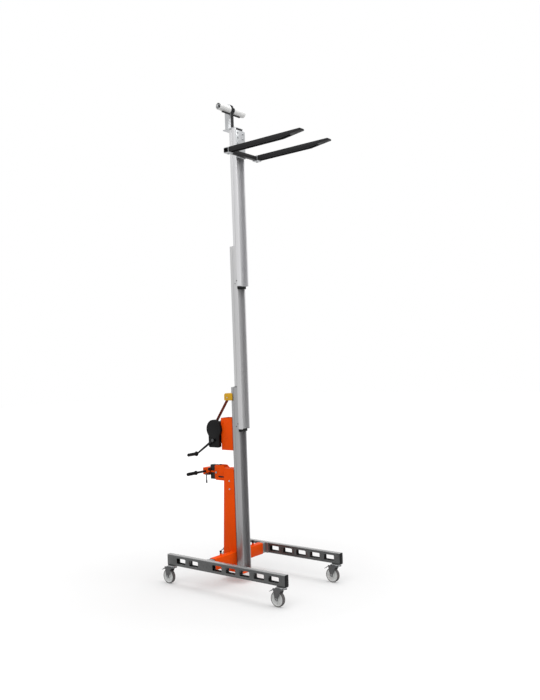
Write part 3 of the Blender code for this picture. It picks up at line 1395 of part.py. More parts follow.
def caster_side_outline(stem):
    """Side view of a caster fork's cheek, from the crown down to the axle."""
    top = CASTER_CROWN_TOP
    axle = stem + CASTER_TRAIL
    front = stem - CASTER_HEAD_RADIUS
    foot = WHEEL_RADIUS - CASTER_CHEEK_HALF
    shoulder = top - CASTER_CROWN - CASTER_SHOULDER
    return [
        (front, top),
        (front, top - CASTER_CROWN - CASTER_CROWN_SKIRT),
        (axle - CASTER_CHEEK_FRONT, shoulder),
        (axle - CASTER_CHEEK_HALF, WHEEL_RADIUS),
        (axle - CASTER_CHEEK_FOOT, foot),
        (axle + CASTER_CHEEK_FOOT, foot),
        (axle + CASTER_CHEEK_HALF, WHEEL_RADIUS),
        (axle + CASTER_CHEEK_REAR, shoulder),
        (axle + CASTER_CHEEK_FOOT, top),
    ]


def build_caster(corner):
    side, stem = CORNERS[corner]
    middle = side * LEG_SPACING / 2
    axle = (stem + CASTER_TRAIL, WHEEL_RADIUS)
    inner = WHEEL_WIDTH / 2 + WHEEL_SIDE_GAP
    outer = inner + CASTER_SIDE_WALL
    swivel = f"swivel_{corner}"
    outline = caster_side_outline(stem)
    cheeks = prism(outline, middle - outer, middle + outer, "X")
    fork = add_object(f"caster_fork_{corner}", cheeks, "zinc", swivel)
    gap_x = (middle - inner, middle + inner)
    gap_y = (stem - CASTER_HEAD_RADIUS - OVERCUT, axle[0] + WHEEL_RADIUS)
    cut(fork, box(gap_x, gap_y, (0.0, CASTER_CROWN_TOP - CASTER_CROWN)), swivel)
    head_low = CASTER_CROWN_TOP - CASTER_CROWN / 2
    head = [
        (head_low, 0),
        (head_low, CASTER_HEAD_RADIUS),
        (CASTER_CROWN_TOP + CASTER_HEAD_HEIGHT * 0.6, CASTER_HEAD_RADIUS),
        (CASTER_CROWN_TOP + CASTER_HEAD_HEIGHT, CASTER_HEAD_RADIUS * 0.86),
        (CASTER_CROWN_TOP + CASTER_HEAD_HEIGHT, 0),
    ]
    fuse(fork, turned(head, (middle, stem), "Z", 24), swivel)
    end = outer + 0.004
    fuse(fork, rod(middle - end, middle + end, WHEEL_AXLE_RADIUS, axle, "X"), swivel)
    half = WHEEL_WIDTH / 2
    web = half - WHEEL_WEB_RECESS
    bore = WHEEL_AXLE_RADIUS + SEAT
    hub = half + WHEEL_SIDE_GAP - SEAT
    stations = [
        (-hub, bore),
        (-hub, WHEEL_HUB_RADIUS),
        (-web, WHEEL_HUB_RADIUS + 0.002),
        (-web, WHEEL_RIM_RADIUS - 0.002),
        (-half, WHEEL_RIM_RADIUS),
        (-half, WHEEL_RADIUS - 0.005),
        (-half + 0.005, WHEEL_RADIUS),
    ]
    mirrored = [(-along, radius) for along, radius in reversed(stations)]
    profile = [(middle + along, radius) for along, radius in stations + mirrored]
    wheel = turned(profile, axle, "X")
    add_object(f"caster_wheel_{corner}", wheel, "wheel", f"wheel_{corner}", smooth=True)
    build_pedal(corner, middle, stem)


def build_pedal(corner, middle, stem):
    """Brake pedal, hinged between the fork's cheeks above the wheel."""
    y = stem + PEDAL_PIVOT_Y
    z = PEDAL_PIVOT_Z
    wall = PEDAL_WALL
    half = WHEEL_WIDTH / 2 + WHEEL_SIDE_GAP - RUN
    pivot = f"pedal_{corner}"
    bar = rod(middle - half, middle + half, 0.005, (y, z), "X", 12)
    pedal = add_object(f"caster_pedal_{corner}", bar, "zinc", pivot)
    knee = y + PEDAL_REACH * 0.55
    tip = y + PEDAL_REACH
    outline = [
        (y, z - wall / 2),
        (knee, z - wall / 2 - 0.004),
        (tip, z - PEDAL_DROP),
        (tip + wall, z - PEDAL_DROP + wall * 0.5),
        (knee + 0.002, z + wall / 2 - 0.002),
        (y, z + wall / 2),
    ]
    fuse(pedal, prism(outline, middle - PEDAL_WIDTH / 2, middle + PEDAL_WIDTH / 2, "X"), pivot)


def add_pivots():
    add_pivot("datum", (0.0, 0.0, 0.0))
    add_pivot("middle_slide", (0.0, MIDDLE_FRONT, MIDDLE_BOTTOM))
    add_pivot("inner_slide", (0.0, INNER_FRONT, INNER_BOTTOM), "middle_slide")
    add_pivot("carriage_slide", (0.0, CARRIAGE_REAR, CARRIAGE_BOTTOM), "inner_slide")
    add_pivot("drum_spin", (0.0, DRUM_Y, DRUM_HEIGHT))
    add_pivot("crank_spin", (0.0, PINION_Y, PINION_Z))
    add_pivot("grip_spin", (CRANK_X, GRIP_Y, GRIP_Z), "crank_spin")
    add_pivot("pulley_spin", (0.0, PULLEY_Y, PULLEY_Z))
    add_pivot("handle_fold", (0.0, HANDLE_Y, HANDLE_PIVOT_HEIGHT))
    add_pivot("lever_swing", (LEVER_X, LEVER_Y, LEVER_Z), "handle_fold")
    for name, side in SIDES.items():
        add_pivot(f"lock_{name}", (side * LOCK_OFFSET, BEAM_MIDDLE, BEAM_TOP))
        add_pivot(f"roller_{name}", (0.0, ROLLER_Y, ROLLER_Z), "inner_slide")
    for name, (side, stem) in CORNERS.items():
        middle = side * LEG_SPACING / 2
        add_pivot(f"swivel_{name}", (middle, stem, LEG_BOTTOM))
        add_pivot(f"wheel_{name}", (middle, stem + CASTER_TRAIL, WHEEL_RADIUS), f"swivel_{name}")
        add_pivot(f"pedal_{name}", (middle, stem + PEDAL_PIVOT_Y, PEDAL_PIVOT_Z), f"swivel_{name}")
    bpy.data.objects["datum"].location = (0.0, -(FORK_TIP + REAR_END) / 2, 0.0)


def build_all():
    clear_scene()
    add_pivots()
    for side_name in SIDES:
        build_leg(side_name)
        build_leg_caps(side_name)
        build_stub(side_name)
        build_leg_lock(side_name)
    for corner in CORNERS:
        build_caster(corner)
    build_cross_beam()
    build_foot_plate()
    build_column()
    build_mast()
    build_winch_bracket()
    build_winch_frame()
    build_winch_cover()
    build_winch_drum()
    build_crank()
    build_strap()
    build_guide_pulley()
    build_pulley_pin()
    build_pulley_guard()
    build_handle_bracket()
    build_handle_pivot()
    build_handle_arm()
    build_handlebar()
    build_lock_lever()
    build_head()
    for side_name in SIDES:
        build_head_roller(side_name)
    build_carriage()
    for side_name in SIDES:
        build_fork(side_name)


build_all()
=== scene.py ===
"""Looks of the manual material lift: its finishes, detailed pieces, light and camera."""

from __future__ import annotations

import json
import logging
import math
from contextlib import contextmanager
from dataclasses import dataclass, replace
from enum import Enum
from typing import Iterator, Sequence, Union

import bpy
from mathutils import Matrix, Vector

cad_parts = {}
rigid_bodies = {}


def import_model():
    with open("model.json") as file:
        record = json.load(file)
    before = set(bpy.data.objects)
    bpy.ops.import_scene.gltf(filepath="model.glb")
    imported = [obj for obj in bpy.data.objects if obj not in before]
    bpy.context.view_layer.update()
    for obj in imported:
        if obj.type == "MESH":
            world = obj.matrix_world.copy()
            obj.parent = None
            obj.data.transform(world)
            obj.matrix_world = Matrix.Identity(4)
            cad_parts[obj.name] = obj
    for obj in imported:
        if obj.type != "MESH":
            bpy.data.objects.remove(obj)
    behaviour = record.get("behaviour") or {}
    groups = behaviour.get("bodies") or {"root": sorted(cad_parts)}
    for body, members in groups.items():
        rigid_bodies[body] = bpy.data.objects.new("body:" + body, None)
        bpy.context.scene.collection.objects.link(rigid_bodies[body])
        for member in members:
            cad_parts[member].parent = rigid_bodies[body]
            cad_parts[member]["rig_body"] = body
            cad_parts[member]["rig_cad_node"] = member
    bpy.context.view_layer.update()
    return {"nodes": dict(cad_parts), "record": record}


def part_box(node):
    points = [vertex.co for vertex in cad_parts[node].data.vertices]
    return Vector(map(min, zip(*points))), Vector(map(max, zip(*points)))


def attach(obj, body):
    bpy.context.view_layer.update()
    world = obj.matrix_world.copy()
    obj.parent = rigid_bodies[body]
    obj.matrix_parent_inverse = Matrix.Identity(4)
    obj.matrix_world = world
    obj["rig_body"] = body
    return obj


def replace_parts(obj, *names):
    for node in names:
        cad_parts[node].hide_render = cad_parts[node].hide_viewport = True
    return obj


LOG = logging.getLogger("material_lift")
PHOTO_HEIGHT = 700

# Degrees from which an edge stays crisp, is rounded, or is kept in a cleaned mesh
CRISP_ANGLE = 35.0
EDGE_ANGLE = 32.0
FLAT_ANGLE = 1.0
# Metres within which vertices are one, the plane a trace grows from, and past every piece
SAME_PLACE = 0.00001
SEED_SIZE = 0.001
FAR = 10.0
HEXAGON = 6
SIGNS = (-1, 1)

Point = tuple[float, float, float]
Colour = tuple[float, float, float]
Pair = tuple[float, float]
Profile = Sequence[Pair]
Widths = tuple[tuple[str, float], ...]
Box = tuple[Vector, Vector]
Piece = bpy.types.Object
Node = bpy.types.Node
Socket = bpy.types.NodeSocket
Value = Union[Socket, Sequence[float], float]


class Side(Enum):
    """The machine's sides as the operator sees them."""

    RIGHT = -1
    LEFT = 1

    @property
    def word(self) -> str:
        """The side's name in lower case, as the nodes have it."""
        return self.name.lower()

    @property
    def out(self) -> Point:
        """The direction away from the machine's middle."""
        return (float(self.value), 0.0, 0.0)

    def span(self, inner: float, outer: float) -> Pair:
        """Returns the lower and the higher X between two distances from the middle."""
        low, high = sorted((self.value * inner, self.value * outer))
        return low, high


class Corner(Enum):
    """The four casters, by the part of the node's name that tells them apart."""

    FRONT_RIGHT = "front_right"
    FRONT_LEFT = "front_left"
    REAR_RIGHT = "rear_right"
    REAR_LEFT = "rear_left"


class Axis(Enum):
    """The direction that a turned or extruded piece runs in."""

    X = (1.0, 0.0, 0.0)
    Y = (0.0, 1.0, 0.0)
    Z = (0.0, 0.0, 1.0)

    def point(self, along: float, first: float, second: float) -> Vector:
        """Makes a point from its place along the axis and its other two coordinates.

        Args:
            along: distance along this axis.
            first: the first of the other coordinates, in X, Y, Z order.
            second: the second of the other coordinates.

        Returns:
            The point.
        """
        place = [first, second]
        place.insert("XYZ".index(self.name), along)
        return Vector(place)


# Modelling bench


def deselect() -> None:
    """Clears the selection, so that the next operator acts on its own piece only."""
    bpy.ops.object.select_all(action="DESELECT")


def pick(*objects: Piece) -> None:
    """Selects some objects alone and makes the first one active.

    Args:
        *objects: the objects.
    """
    deselect()
    for obj in objects:
        obj.select_set(True)
    bpy.context.view_layer.objects.active = objects[0]


@contextmanager
def editing(obj: Piece) -> Iterator[None]:
    """Opens an object in edit mode with all of it selected.

    Args:
        obj: the object.
    """
    pick(obj)
    bpy.ops.object.mode_set(mode="EDIT")
    bpy.ops.mesh.select_all(action="SELECT")
    yield
    bpy.ops.object.mode_set(mode="OBJECT")


def smooth(obj: Piece, degrees: float = CRISP_ANGLE) -> Piece:
    """Shades a piece smooth, with its sharp edges left crisp.

    Args:
        obj: the piece.
        degrees: the angle from which an edge is sharp.

    Returns:
        The same piece.
    """
    pick(obj)
    bpy.ops.object.shade_smooth_by_angle(angle=math.radians(degrees))
    return obj


def round_edges(obj: Piece, width: float, segments: int = 2) -> Piece:
    """Rounds every edge that isn't nearly flat.

    Args:
        obj: the piece.
        width: how far the rounding reaches from the edge.
        segments: facets across the rounding.

    Returns:
        The same piece.
    """
    step = obj.modifiers.new("rounded_edges", "BEVEL")
    step.width = width
    step.segments = segments
    step.limit_method = "ANGLE"
    step.angle_limit = math.radians(EDGE_ANGLE)
    step.use_clamp_overlap = True
    pick(obj)
    bpy.ops.object.modifier_apply(modifier=step.name)
    return smooth(obj)


def block(name: str, low: Sequence[float], high: Sequence[float]) -> Piece:
    """Adds a block between two corners.

    Args:
        name: the piece's name.
        low: its lowest corner.
        high: its highest corner.

    Returns:
        The block, ready to be shaped.
    """
    deselect()
    middle = [(a + b) / 2 for a, b in zip(low, high)]
    bpy.ops.mesh.primitive_cube_add(size=1.0, location=middle)
    obj = bpy.context.object
    obj.name = name
    obj.scale = [b - a for a, b in zip(low, high)]
    pick(obj)
    bpy.ops.object.transform_apply(location=True, rotation=True, scale=True)
    return obj


def trace(name: str, points: Sequence[Vector], closed: bool) -> Piece:
    """Draws a line of edges from one vertex by extruding it from point to point.

    Args:
        name: the piece's name.
        points: the corners in order.
        closed: whether the last corner joins the first.

    Returns:
        An object that holds the edges.
    """
    deselect()
    bpy.ops.mesh.primitive_plane_add(size=SEED_SIZE)
    obj = bpy.context.object
    obj.name = name
    bpy.ops.object.mode_set(mode="EDIT")
    bpy.ops.mesh.select_all(action="SELECT")
    bpy.ops.mesh.merge(type="CENTER")
    bpy.ops.transform.translate(value=points[0])
    for before, after in zip(points, points[1:]):
        bpy.ops.mesh.extrude_vertices_move(TRANSFORM_OT_translate={"value": after - before})
    if closed:
        bpy.ops.object.mode_set(mode="OBJECT")
        obj.data.vertices[0].select = True
        obj.data.vertices[len(points) - 1].select = True
        bpy.ops.object.mode_set(mode="EDIT")
        bpy.ops.mesh.edge_face_add()
    bpy.ops.object.mode_set(mode="OBJECT")
    return obj


def laid(start: float, profile: Profile, way: int = 1) -> list[Pair]:
    """Lays (distance, radius) pairs out from a place on an axis.

    Args:
        start: the place that the distances are measured from.
        profile: the pairs.
        way: 1 to measure upwards, -1 to measure downwards.

    Returns:
        (along, radius) pairs.
    """
    return [(start + way * distance, radius) for distance, radius in profile]


def turned(name: str, profile: Profile, centre: Pair, axis: Axis, steps: int) -> Piece:
    """Spins a profile about an axis, as on a lathe.

    Args:
        name: the piece's name.
        profile: (along, radius) pairs; it is closed when it starts off the axis.
        centre: where the axis stands, in the other two coordinates.
        axis: the direction of the axis.
        steps: facets round the axis.

    Returns:
        The turned piece, with its faces outwards.
    """
    points = [axis.point(along, centre[0] + radius, centre[1]) for along, radius in profile]
    obj = trace(name, points, closed=profile[0][1] > 0)
    with editing(obj):
        middle = axis.point(0.0, *centre)
        bpy.ops.mesh.spin(steps=steps, angle=2 * math.pi, center=middle, axis=axis.value)
        bpy.ops.mesh.select_all(action="SELECT")
        bpy.ops.mesh.remove_doubles(threshold=SAME_PLACE)
        bpy.ops.mesh.normals_make_consistent(inside=False)
    return smooth(obj)


def plate(name: str, outline: Profile, low: float, high: float, axis: Axis) -> Piece:
    """Fills an outline and extrudes it into a plate.

    Args:
        name: the piece's name.
        outline: the corners in the plane across the axis.
        low: where the plate starts along the axis.
        high: where it ends.
        axis: the direction of its thickness.

    Returns:
        The plate, with its faces outwards.
    """
    obj = trace(name, [axis.point(low, a, b) for a, b in outline], closed=True)
    step = axis.point(high - low, 0.0, 0.0)
    with editing(obj):
        bpy.ops.mesh.edge_face_add()
        bpy.ops.mesh.extrude_region_move(TRANSFORM_OT_translate={"value": step})
        bpy.ops.mesh.select_all(action="SELECT")
        bpy.ops.mesh.normals_make_consistent(inside=False)
    return obj


def join(name: str, parts: Sequence[Piece]) -> Piece:
    """Joins several shapes into one piece under a new name.

    Args:
        name: the new name.
        parts: the shapes.

    Returns:
        The piece.
    """
    pick(*parts)
    if len(parts) > 1:
        bpy.ops.object.join()
    obj = bpy.context.object
    obj.name = name
    obj.data.name = name
    return obj


def copy_at(master: Piece, place: Matrix) -> Piece:
    """Copies a piece with a mesh of its own and moves that mesh to a place.

    Args:
        master: the piece to copy.
        place: the move.

    Returns:
        The copy.
    """
    twin = master.copy()
    twin.data = master.data.copy()
    bpy.context.collection.objects.link(twin)
    twin.data.transform(place)
    return twin


def copies_at(master: Piece, places: Sequence[Sequence[float]], turn: Matrix) -> list[Piece]:
    """Copies a piece to several places and takes the first one away.

    Args:
        master: the piece, modelled at the origin.
        places: where the copies go.
        turn: how they are turned.

    Returns:
        The copies.
    """
    copies = [copy_at(master, Matrix.Translation(place) @ turn) for place in places]
    bpy.data.objects.remove(master, do_unlink=True)
    return copies


def ring_of(master: Piece, count: int, centre: Vector, axis: Axis) -> list[Piece]:
    """Repeats a piece at equal turns about an axis.

    Args:
        master: the piece, which is the first of the ring.
        count: how many pieces the ring has.
        centre: a point of the axis.
        axis: the direction of the axis.

    Returns:
        The pieces of the ring.
    """
    ring = [master]
    there, back = Matrix.Translation(centre), Matrix.Translation(-centre)
    for index in range(1, count):
        turn = Matrix.Rotation(2 * math.pi * index / count, 4, axis.name)
        ring.append(copy_at(master, there @ turn @ back))
    return ring


def cut_across(obj: Piece, axis: Axis, *levels: float) -> None:
    """Adds a ring of edges round a piece at each of several levels.

    Args:
        obj: the piece.
        axis: the direction that the levels are measured in.
        *levels: the places of the rings.
    """
    for level in levels:
        with editing(obj):
            bpy.ops.mesh.bisect(plane_co=axis.point(level, 0.0, 0.0), plane_no=axis.value)


def from_node(node: str, width: float, segments: int) -> Piece:
    """Copies a CAD node's shape, cleans the copy and rounds its edges.

    Args:
        node: the node that the copy stands for.
        width: width of the rounding.
        segments: facets across the rounding.

    Returns:
        The rounded piece, which replaces the node.
    """
    obj = copy_at(bpy.data.objects[node], Matrix.Identity(4))
    obj.parent = None
    obj.matrix_world = Matrix.Identity(4)
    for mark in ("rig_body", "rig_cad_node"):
        if mark in obj:
            del obj[mark]
    obj.name = f"{node}_finished"
    obj.data.name = obj.name
    with editing(obj):
        bpy.ops.mesh.remove_doubles(threshold=SAME_PLACE)
        bpy.ops.mesh.dissolve_limited(angle_limit=math.radians(FLAT_ANGLE))
    round_edges(obj, width, segments)
    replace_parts(obj, node)
    return obj


def middle_of(box: Box) -> Vector:
    """Returns the middle of a box."""
    return (Vector(box[0]) + Vector(box[1])) / 2


# Shader bench

WHITE: Colour = (1.0, 1.0, 1.0)
FULL: Pair = (0.0, 1.0)
SWING: Pair = (-1.0, 1.0)
# Scale and detail of each noise, then the part of its values that is used
CLOUD_NOISE: Pair = (5.0, 4.0)
GRAIN_NOISE: Pair = (900.0, 2.0)
SCUFF_NOISE: Pair = (38.0, 8.0)
DUST_NOISE: Pair = (26.0, 6.0)
CLOUD_RANGE: Pair = (0.3, 0.7)
SCUFF_RANGE: Pair = (0.66, 0.74)
DUST_RANGE: Pair = (0.35, 0.75)
DUST_HEIGHT: Pair = (0.0, 0.24)
DUST_COLOUR: Colour = (0.30, 0.28, 0.25)
BUMP_DISTANCE = 0.0006
CRYSTAL_SCALE = 85.0
CRYSTAL_LIGHTER = 1.35


def scaled(colour: Colour, factor: float) -> Colour:
    """Makes a colour lighter or darker by a factor."""
    red, green, blue = (min(1.0, part * factor) for part in colour)
    return red, green, blue


@dataclass(frozen=True)
class Wiring:
    """Adds nodes to one shader tree and links them."""

    tree: bpy.types.NodeTree

    def add(self, kind: str, **options: object) -> Node:
        """Adds a node and sets its options.

        Args:
            kind: the end of the node's type.
            **options: options of the node by name.

        Returns:
            The new node.
        """
        node = self.tree.nodes.new(f"ShaderNode{kind}")
        for label, value in options.items():
            setattr(node, label, value)
        return node

    def feed(self, target: Socket, value: Value) -> None:
        """Links an output to an input, or sets the input to a plain value.

        Args:
            target: the input.
            value: the output, or a number, vector or colour.
        """
        if isinstance(value, bpy.types.NodeSocket):
            self.tree.links.new(value, target)
        else:
            target.default_value = (*value, 1.0) if target.type == "RGBA" else value

    def flow(self, kind: str, result: str, *values: Value, **options: object) -> Socket:
        """Adds a node, feeds its inputs in order and picks one of its outputs.

        Args:
            kind: the end of the node's type.
            result: the output's name.
            *values: what the first inputs get.
            **options: options of the node by name.

        Returns:
            The output.
        """
        node = self.add(kind, **options)
        for target, value in zip(node.inputs, values):
            self.feed(target, value)
        return node.outputs[result]

    def noise(self, vector: Socket, scale: float, detail: float) -> Socket:
        """Adds a noise texture.

        Args:
            vector: where the noise is read.
            scale: how fine it is.
            detail: how many finer layers it has.

        Returns:
            The noise.
        """
        node = self.add("TexNoise")
        self.feed(node.inputs["Vector"], vector)
        self.feed(node.inputs["Scale"], scale)
        self.feed(node.inputs["Detail"], detail)
        return node.outputs["Fac"]

    def ranged(self, value: Socket, source: Pair, result: Pair) -> Socket:
        """Maps a value from one range to another."""
        return self.flow("MapRange", "Result", value, *source, *result)

    def wave(self, value: Socket, pitch: float) -> Socket:
        """Makes a sine that repeats over a distance, from a value in metres."""
        turns = self.flow("Math", "Value", value, 2 * math.pi / pitch, operation="MULTIPLY")
        return self.flow("Math", "Value", turns, operation="SINE")

    def mixed(self, share: Socket, first: Socket | Colour, second: Socket | Colour) -> Socket:
        """Mixes two colours.

        Args:
            share: how much of the second colour shows.
            first: the first colour.
            second: the second colour.

        Returns:
            The mixed colour.
        """
        node = self.add("Mix", data_type="RGBA")
        # The node has sockets for every kind of data; these are the share and the colours
        for index, value in ((0, share), (6, first), (7, second)):
            self.feed(node.inputs[index], value)
        return node.outputs[2]


def group_wiring(name: str, outputs: Sequence[str]) -> tuple[Wiring, Socket, Node]:
    """Starts a shader node group that turns a place into values.

    Args:
        name: the group's name.
        outputs: names of the values.

    Returns:
        The group's wiring, the place and the node that takes the values.
    """
    tree = bpy.data.node_groups.new(name, "ShaderNodeTree")
    tree.interface.new_socket(name="Vector", in_out="INPUT", socket_type="NodeSocketVector")
    for label in outputs:
        tree.interface.new_socket(name=label, in_out="OUTPUT", socket_type="NodeSocketFloat")
    start = tree.nodes.new("NodeGroupInput")
    return Wiring(tree), start.outputs["Vector"], tree.nodes.new("NodeGroupOutput")


def surface_group() -> bpy.types.NodeTree:
    """Makes the clouding, grain and sparse scuffs of a painted or cast surface.

    Returns:
        The node group, which is built once.
    """
    found = bpy.data.node_groups.get("surface_variation")
    if found:
        return found
    wiring, place, end = group_wiring("surface_variation", ("Cloud", "Grain", "Scuff"))
    wiring.feed(end.inputs["Cloud"], wiring.noise(place, *CLOUD_NOISE))
    wiring.feed(end.inputs["Grain"], wiring.noise(place, *GRAIN_NOISE))
    scuff = wiring.ranged(wiring.noise(place, *SCUFF_NOISE), SCUFF_RANGE, FULL)
    wiring.feed(end.inputs["Scuff"], scuff)
    return wiring.tree


def dust_group() -> bpy.types.NodeTree:
    """Makes the dust that settles towards the floor, broken up by noise.

    Returns:
        The node group, which is built once.
    """
    found = bpy.data.node_groups.get("floor_dust")
    if found:
        return found
    wiring, place, end = group_wiring("floor_dust", ("Mask",))
    low = wiring.ranged(wiring.flow("SeparateXYZ", "Z", place), DUST_HEIGHT, (1.0, 0.0))
    patch = wiring.ranged(wiring.noise(place, *DUST_NOISE), DUST_RANGE, FULL)
    mask = wiring.flow("Math", "Value", low, patch, operation="MULTIPLY")
    wiring.feed(end.inputs["Mask"], mask)
    return wiring.tree


@dataclass(frozen=True)
class Finish:
    """A surface finish: its tone, gloss and the patterns on it."""

    name: str
    slot: str
    colour: Colour
    roughness: float
    metallic: float = 0.0
    cloud: float = 0.10
    gloss_change: float = 0.10
    bump: float = 0.05
    stretch: Point = (1.0, 1.0, 1.0)
    scuff_colour: Colour = (0.30, 0.30, 0.30)
    scuff: float = 0.15
    dust: float = 0.0
    specular: float = 0.5

    def material(self) -> bpy.types.Material:
        """Makes the material.

        Returns:
            The material, which is built once.
        """
        name = f"finish_{self.name}"
        found = bpy.data.materials.get(name)
        if found:
            return found
        made = bpy.data.materials.new(name)
        made.use_nodes = True
        wiring = Wiring(made.node_tree)
        inputs = made.node_tree.nodes["Principled BSDF"].inputs
        wiring.feed(inputs["Metallic"], self.metallic)
        wiring.feed(inputs["Specular IOR Level"], self.specular)
        place = wiring.add("TexCoord").outputs["Object"]
        mapping = wiring.add("Mapping")
        wiring.feed(mapping.inputs["Scale"], self.stretch)
        wiring.feed(mapping.inputs["Vector"], place)
        vary = wiring.add("Group", node_tree=surface_group())
        wiring.feed(vary.inputs["Vector"], mapping.outputs["Vector"])
        colour = self.pattern(wiring, place, vary)
        if self.dust > 0.0:
            colour = self.dusted(wiring, place, colour)
        wiring.feed(inputs["Base Color"], colour)
        spread = (self.roughness - self.gloss_change, self.roughness + self.gloss_change)
        wiring.feed(inputs["Roughness"], wiring.ranged(vary.outputs["Cloud"], CLOUD_RANGE, spread))
        bump = wiring.add("Bump")
        wiring.feed(bump.inputs["Strength"], self.bump)
        wiring.feed(bump.inputs["Distance"], BUMP_DISTANCE)
        wiring.feed(bump.inputs["Height"], self.relief(wiring, place, vary))
        wiring.feed(inputs["Normal"], bump.outputs["Normal"])
        return made

    def pattern(self, wiring: Wiring, place: Socket, vary: Node) -> Socket:
        """Makes the colour: a clouded base with scuffs over it.

        Args:
            wiring: the material's wiring.
            place: object coordinates.
            vary: the shared variation group in this material.

        Returns:
            The colour.
        """
        cloud = wiring.ranged(vary.outputs["Cloud"], CLOUD_RANGE, FULL)
        dark, light = (scaled(self.colour, 1 + sign * self.cloud) for sign in SIGNS)
        scuff = wiring.ranged(vary.outputs["Scuff"], FULL, (0.0, self.scuff))
        return wiring.mixed(scuff, wiring.mixed(cloud, dark, light), self.scuff_colour)

    def dusted(self, wiring: Wiring, place: Socket, colour: Socket) -> Socket:
        """Lays floor dust over a colour.

        Args:
            wiring: the material's wiring.
            place: object coordinates.
            colour: the clean colour.

        Returns:
            The dusty colour.
        """
        dust = wiring.add("Group", node_tree=dust_group())
        wiring.feed(dust.inputs["Vector"], place)
        share = wiring.ranged(dust.outputs["Mask"], FULL, (0.0, self.dust))
        return wiring.mixed(share, colour, DUST_COLOUR)

    def relief(self, wiring: Wiring, place: Socket, vary: Node) -> Socket:
        """Returns the height that the bump is made from."""
        return vary.outputs["Grain"]

    def dress(self, obj: Piece) -> None:
        """Gives a piece this finish.

        Args:
            obj: the piece.
        """
        obj.data.materials.clear()
        obj.data.materials.append(self.material())

    def recoat(
        self,
        obj: Piece,
        low: Sequence[float] = (-FAR, -FAR, -FAR),
        high: Sequence[float] = (FAR, FAR, FAR),
        facing: Sequence[float] | None = None,
        lean: float = 0.6,
    ) -> None:
        """Gives this finish to the faces of a piece whose middles lie in a box.

        Args:
            obj: the piece.
            low: the box's lowest corner.
            high: the box's highest corner.
            facing: the way that the faces look, or None for every way.
            lean: how closely they look that way, as a cosine.
        """
        obj.data.materials.append(self.material())
        last = len(obj.data.materials) - 1
        for face in obj.data.polygons:
            inside = all(a < value < b for a, value, b in zip(low, face.center, high))
            if inside and (facing is None or face.normal.dot(Vector(facing)) > lean):
                face.material_index = last


@dataclass(frozen=True)
class Spangled(Finish):
    """Hot-dip zinc with the crystal pattern that it sets in."""

    def pattern(self, wiring: Wiring, place: Socket, vary: Node) -> Socket:
        """Makes a colour whose tone steps from crystal to crystal.

        Args:
            wiring: the material's wiring.
            place: object coordinates.
            vary: the shared variation group in this material.

        Returns:
            The colour.
        """
        cells = wiring.add("TexVoronoi")
        wiring.feed(cells.inputs["Scale"], CRYSTAL_SCALE)
        wiring.feed(cells.inputs["Vector"], place)
        crystal = wiring.flow("SeparateColor", "Red", cells.outputs["Color"])
        base = super().pattern(wiring, place, vary)
        return wiring.mixed(crystal, base, scaled(self.colour, CRYSTAL_LIGHTER))


@dataclass(frozen=True)
class Threaded(Finish):
    """Webbing, whose threads stand out from the dark gaps between them."""

    gap: float = 0.45

    def threads(self, wiring: Wiring, place: Socket) -> Socket:
        """Returns a value that is 1 on a thread and 0 between two, as each weave has it."""
        raise NotImplementedError

    def pattern(self, wiring: Wiring, place: Socket, vary: Node) -> Socket:
        """Makes the thread colour, darker between the threads.

        Args:
            wiring: the material's wiring.
            place: object coordinates.
            vary: the shared variation group in this material.

        Returns:
            The colour.
        """
        base = super().pattern(wiring, place, vary)
        return wiring.mixed(self.threads(wiring, place), scaled(self.colour, self.gap), base)

    def relief(self, wiring: Wiring, place: Socket, vary: Node) -> Socket:
        """Returns the threads as height."""
        return self.threads(wiring, place)


@dataclass(frozen=True)
class Woven(Threaded):
    """Webbing seen flat: ribs along the strap and picks across it."""

    rib_pitch: float = 0.0026
    pick_pitch: float = 0.0020

    def threads(self, wiring: Wiring, place: Socket) -> Socket:
        """Makes a value that rises on each crossing of the threads.

        Args:
            wiring: the material's wiring.
            place: object coordinates.

        Returns:
            The value.
        """
        ribs = wiring.wave(wiring.flow("SeparateXYZ", "X", place), self.rib_pitch)
        picks = wiring.wave(wiring.flow("SeparateXYZ", "Z", place), self.pick_pitch)
        cross = wiring.flow("Math", "Value", ribs, picks, operation="MULTIPLY")
        return wiring.ranged(cross, SWING, FULL)


@dataclass(frozen=True)
class Wound(Threaded):
    """Webbing seen on its edge, turn upon turn round the drum's axis."""

    gap: float = 0.35
    axis_y: float = 0.0
    axis_z: float = 0.0
    turn: float = 0.0016

    def threads(self, wiring: Wiring, place: Socket) -> Socket:
        """Makes a value that rises and falls once for each turn of strap.

        Args:
            wiring: the material's wiring.
            place: object coordinates.

        Returns:
            The value.
        """
        centre, across = (0.0, self.axis_y, self.axis_z), (0.0, 1.0, 1.0)
        away = wiring.flow("VectorMath", "Vector", place, centre, operation="SUBTRACT")
        flat = wiring.flow("VectorMath", "Vector", away, across, operation="MULTIPLY")
        radius = wiring.flow("VectorMath", "Value", flat, operation="LENGTH")
        return wiring.ranged(wiring.wave(radius, self.turn), SWING, FULL)


